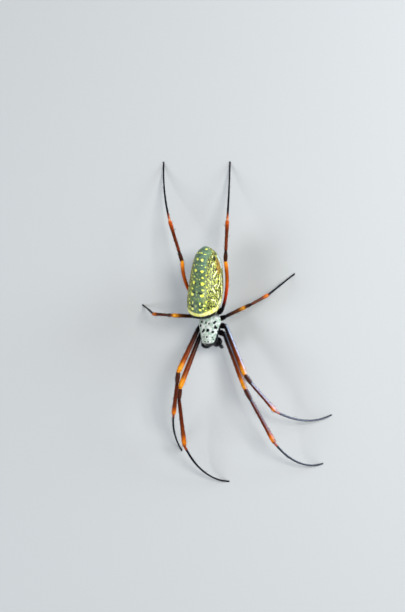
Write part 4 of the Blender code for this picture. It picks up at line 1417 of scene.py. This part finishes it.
# %% Make the claws
# Points of a claw: ahead of the toe, aside from it, and above the floor.
CLAW_PATH = ((0.0, 0.1, 0.2), (0.36, 0.15, 0.26), (0.6, 0.18, 0.08))
CLAW_RADIUS = (0.09, 0.07, 0.02)
claws = bmesh.new()
claws.verts.layers.float_vector.new("place")
claws.verts.layers.float_vector.new("unwrap")
for key in POSE:
    toe, way = leg_line(*key)[1][-1][:2]
    ahead = Vector((way.x, way.y, 0.0)).normalized()
    aside = Vector((-ahead.y, ahead.x, 0.0))
    for sign in (1, -1):
        path = [
            Vector((toe.x, toe.y, height)) + ahead * forward + aside * (out * sign)
            for forward, out, height in CLAW_PATH
        ]
        joined(claws, [tube(path, CLAW_RADIUS, 12, 10, (0.0, 0.0, 1.0))])
finished(claws, "claws", BLACK_SHELL, "black")
print("claws made:", 2 * len(POSE))

# %% [markdown]
# ## Camera
# The photograph looks down on the back from far away, a little from the animal's left. At the
# animal's distance one pixel of the picture covers 0.34 mm. A long lens keeps the same frame and
# nearly parallel lines of sight.

# %% Set the camera
PICTURE = (405, 612)
MM_PER_PIXEL = 0.34
ORIGIN_PIXEL = (221.7, 322.0)
ROLL = radians(23)
CAMERA_DISTANCE = 900.0
SENSOR = 36.0
right_way = Vector((cos(ROLL), 0.0, -sin(ROLL)))
up_way = Vector((0.0, 1.0, 0.0))
back_off = Vector((sin(ROLL), 0.0, cos(ROLL)))
across, down = (size / 2 - pixel for size, pixel in zip(PICTURE, ORIGIN_PIXEL))
stand = (right_way * across - up_way * down) * MM_PER_PIXEL + back_off * CAMERA_DISTANCE
facing = Matrix((right_way, up_way, back_off)).transposed().to_4x4()
lens = bpy.data.cameras.new("photo_camera")
camera = placed("photo_camera", lens)
camera.matrix_world = Matrix.Translation(ORIGIN + stand * MM) @ facing
lens.sensor_fit = "VERTICAL"
lens.sensor_height = SENSOR
lens.lens = SENSOR * CAMERA_DISTANCE / (PICTURE[1] * MM_PER_PIXEL)
lens.clip_start = 0.01
lens.clip_end = 10.0
bpy.context.scene.camera = camera
print("lens:", round(lens.lens, 1), "mm")

# %% [markdown]
# ## Floor and light
# The model stands on a plain pale floor. In the photograph the sun comes from the picture's right, high
# up, and gives the legs and flanks a cool, bright edge. Two softboxes on that side repeat it, one high
# and one low and bluish. A wide one on the other side, a weak one in front and a pale sky keep the
# shadows open.

# %% Make floor and lights
FLOOR_SIZE = 3.0
floor_mesh = bmesh.new()
bmesh.ops.create_grid(floor_mesh, x_segments=1, y_segments=1, size=FLOOR_SIZE)
floor_data = bpy.data.meshes.new("floor")
floor_mesh.to_mesh(floor_data)
floor_mesh.free()
floor_data.materials.append(new_finish("pale_floor", Roughness=0.7, Base_Color=(0.6, 0.61, 0.61))[0])
placed("floor", floor_data)

# Each lamp's place, size, power and colour.
SOFTBOXES = {
    "sun_side": ((0.42, 0.12, 0.5), 0.22, 3.05, (1.0, 0.985, 0.95)),
    "edge_side": ((0.56, 0.2, 0.15), 0.24, 3.4, (0.78, 0.88, 1.0)),
    "sky_side": ((-0.5, -0.15, 0.5), 0.4, 2.4, (0.88, 0.94, 1.0)),
    "front_fill": ((0.1, -0.6, 0.3), 0.4, 0.4, (1.0, 1.0, 1.0)),
}
for name, (place, size, power, colour) in SOFTBOXES.items():
    lamp = bpy.data.lights.new(name, "AREA")
    lamp.size, lamp.energy, lamp.color = size, power, colour
    box = placed(name, lamp)
    box.location = place
    box.rotation_euler = (-Vector(place)).to_track_quat("-Z", "Y").to_euler()
world = bpy.data.worlds.new("pale_sky")
world.use_nodes = True
background = world.node_tree.nodes["Background"]
feed(background.inputs["Color"], (0.85, 0.9, 0.95))
feed(background.inputs["Strength"], 0.21)
bpy.context.scene.world = world
bpy.context.scene.view_settings.view_transform = "Standard"
print("floor and lights made")
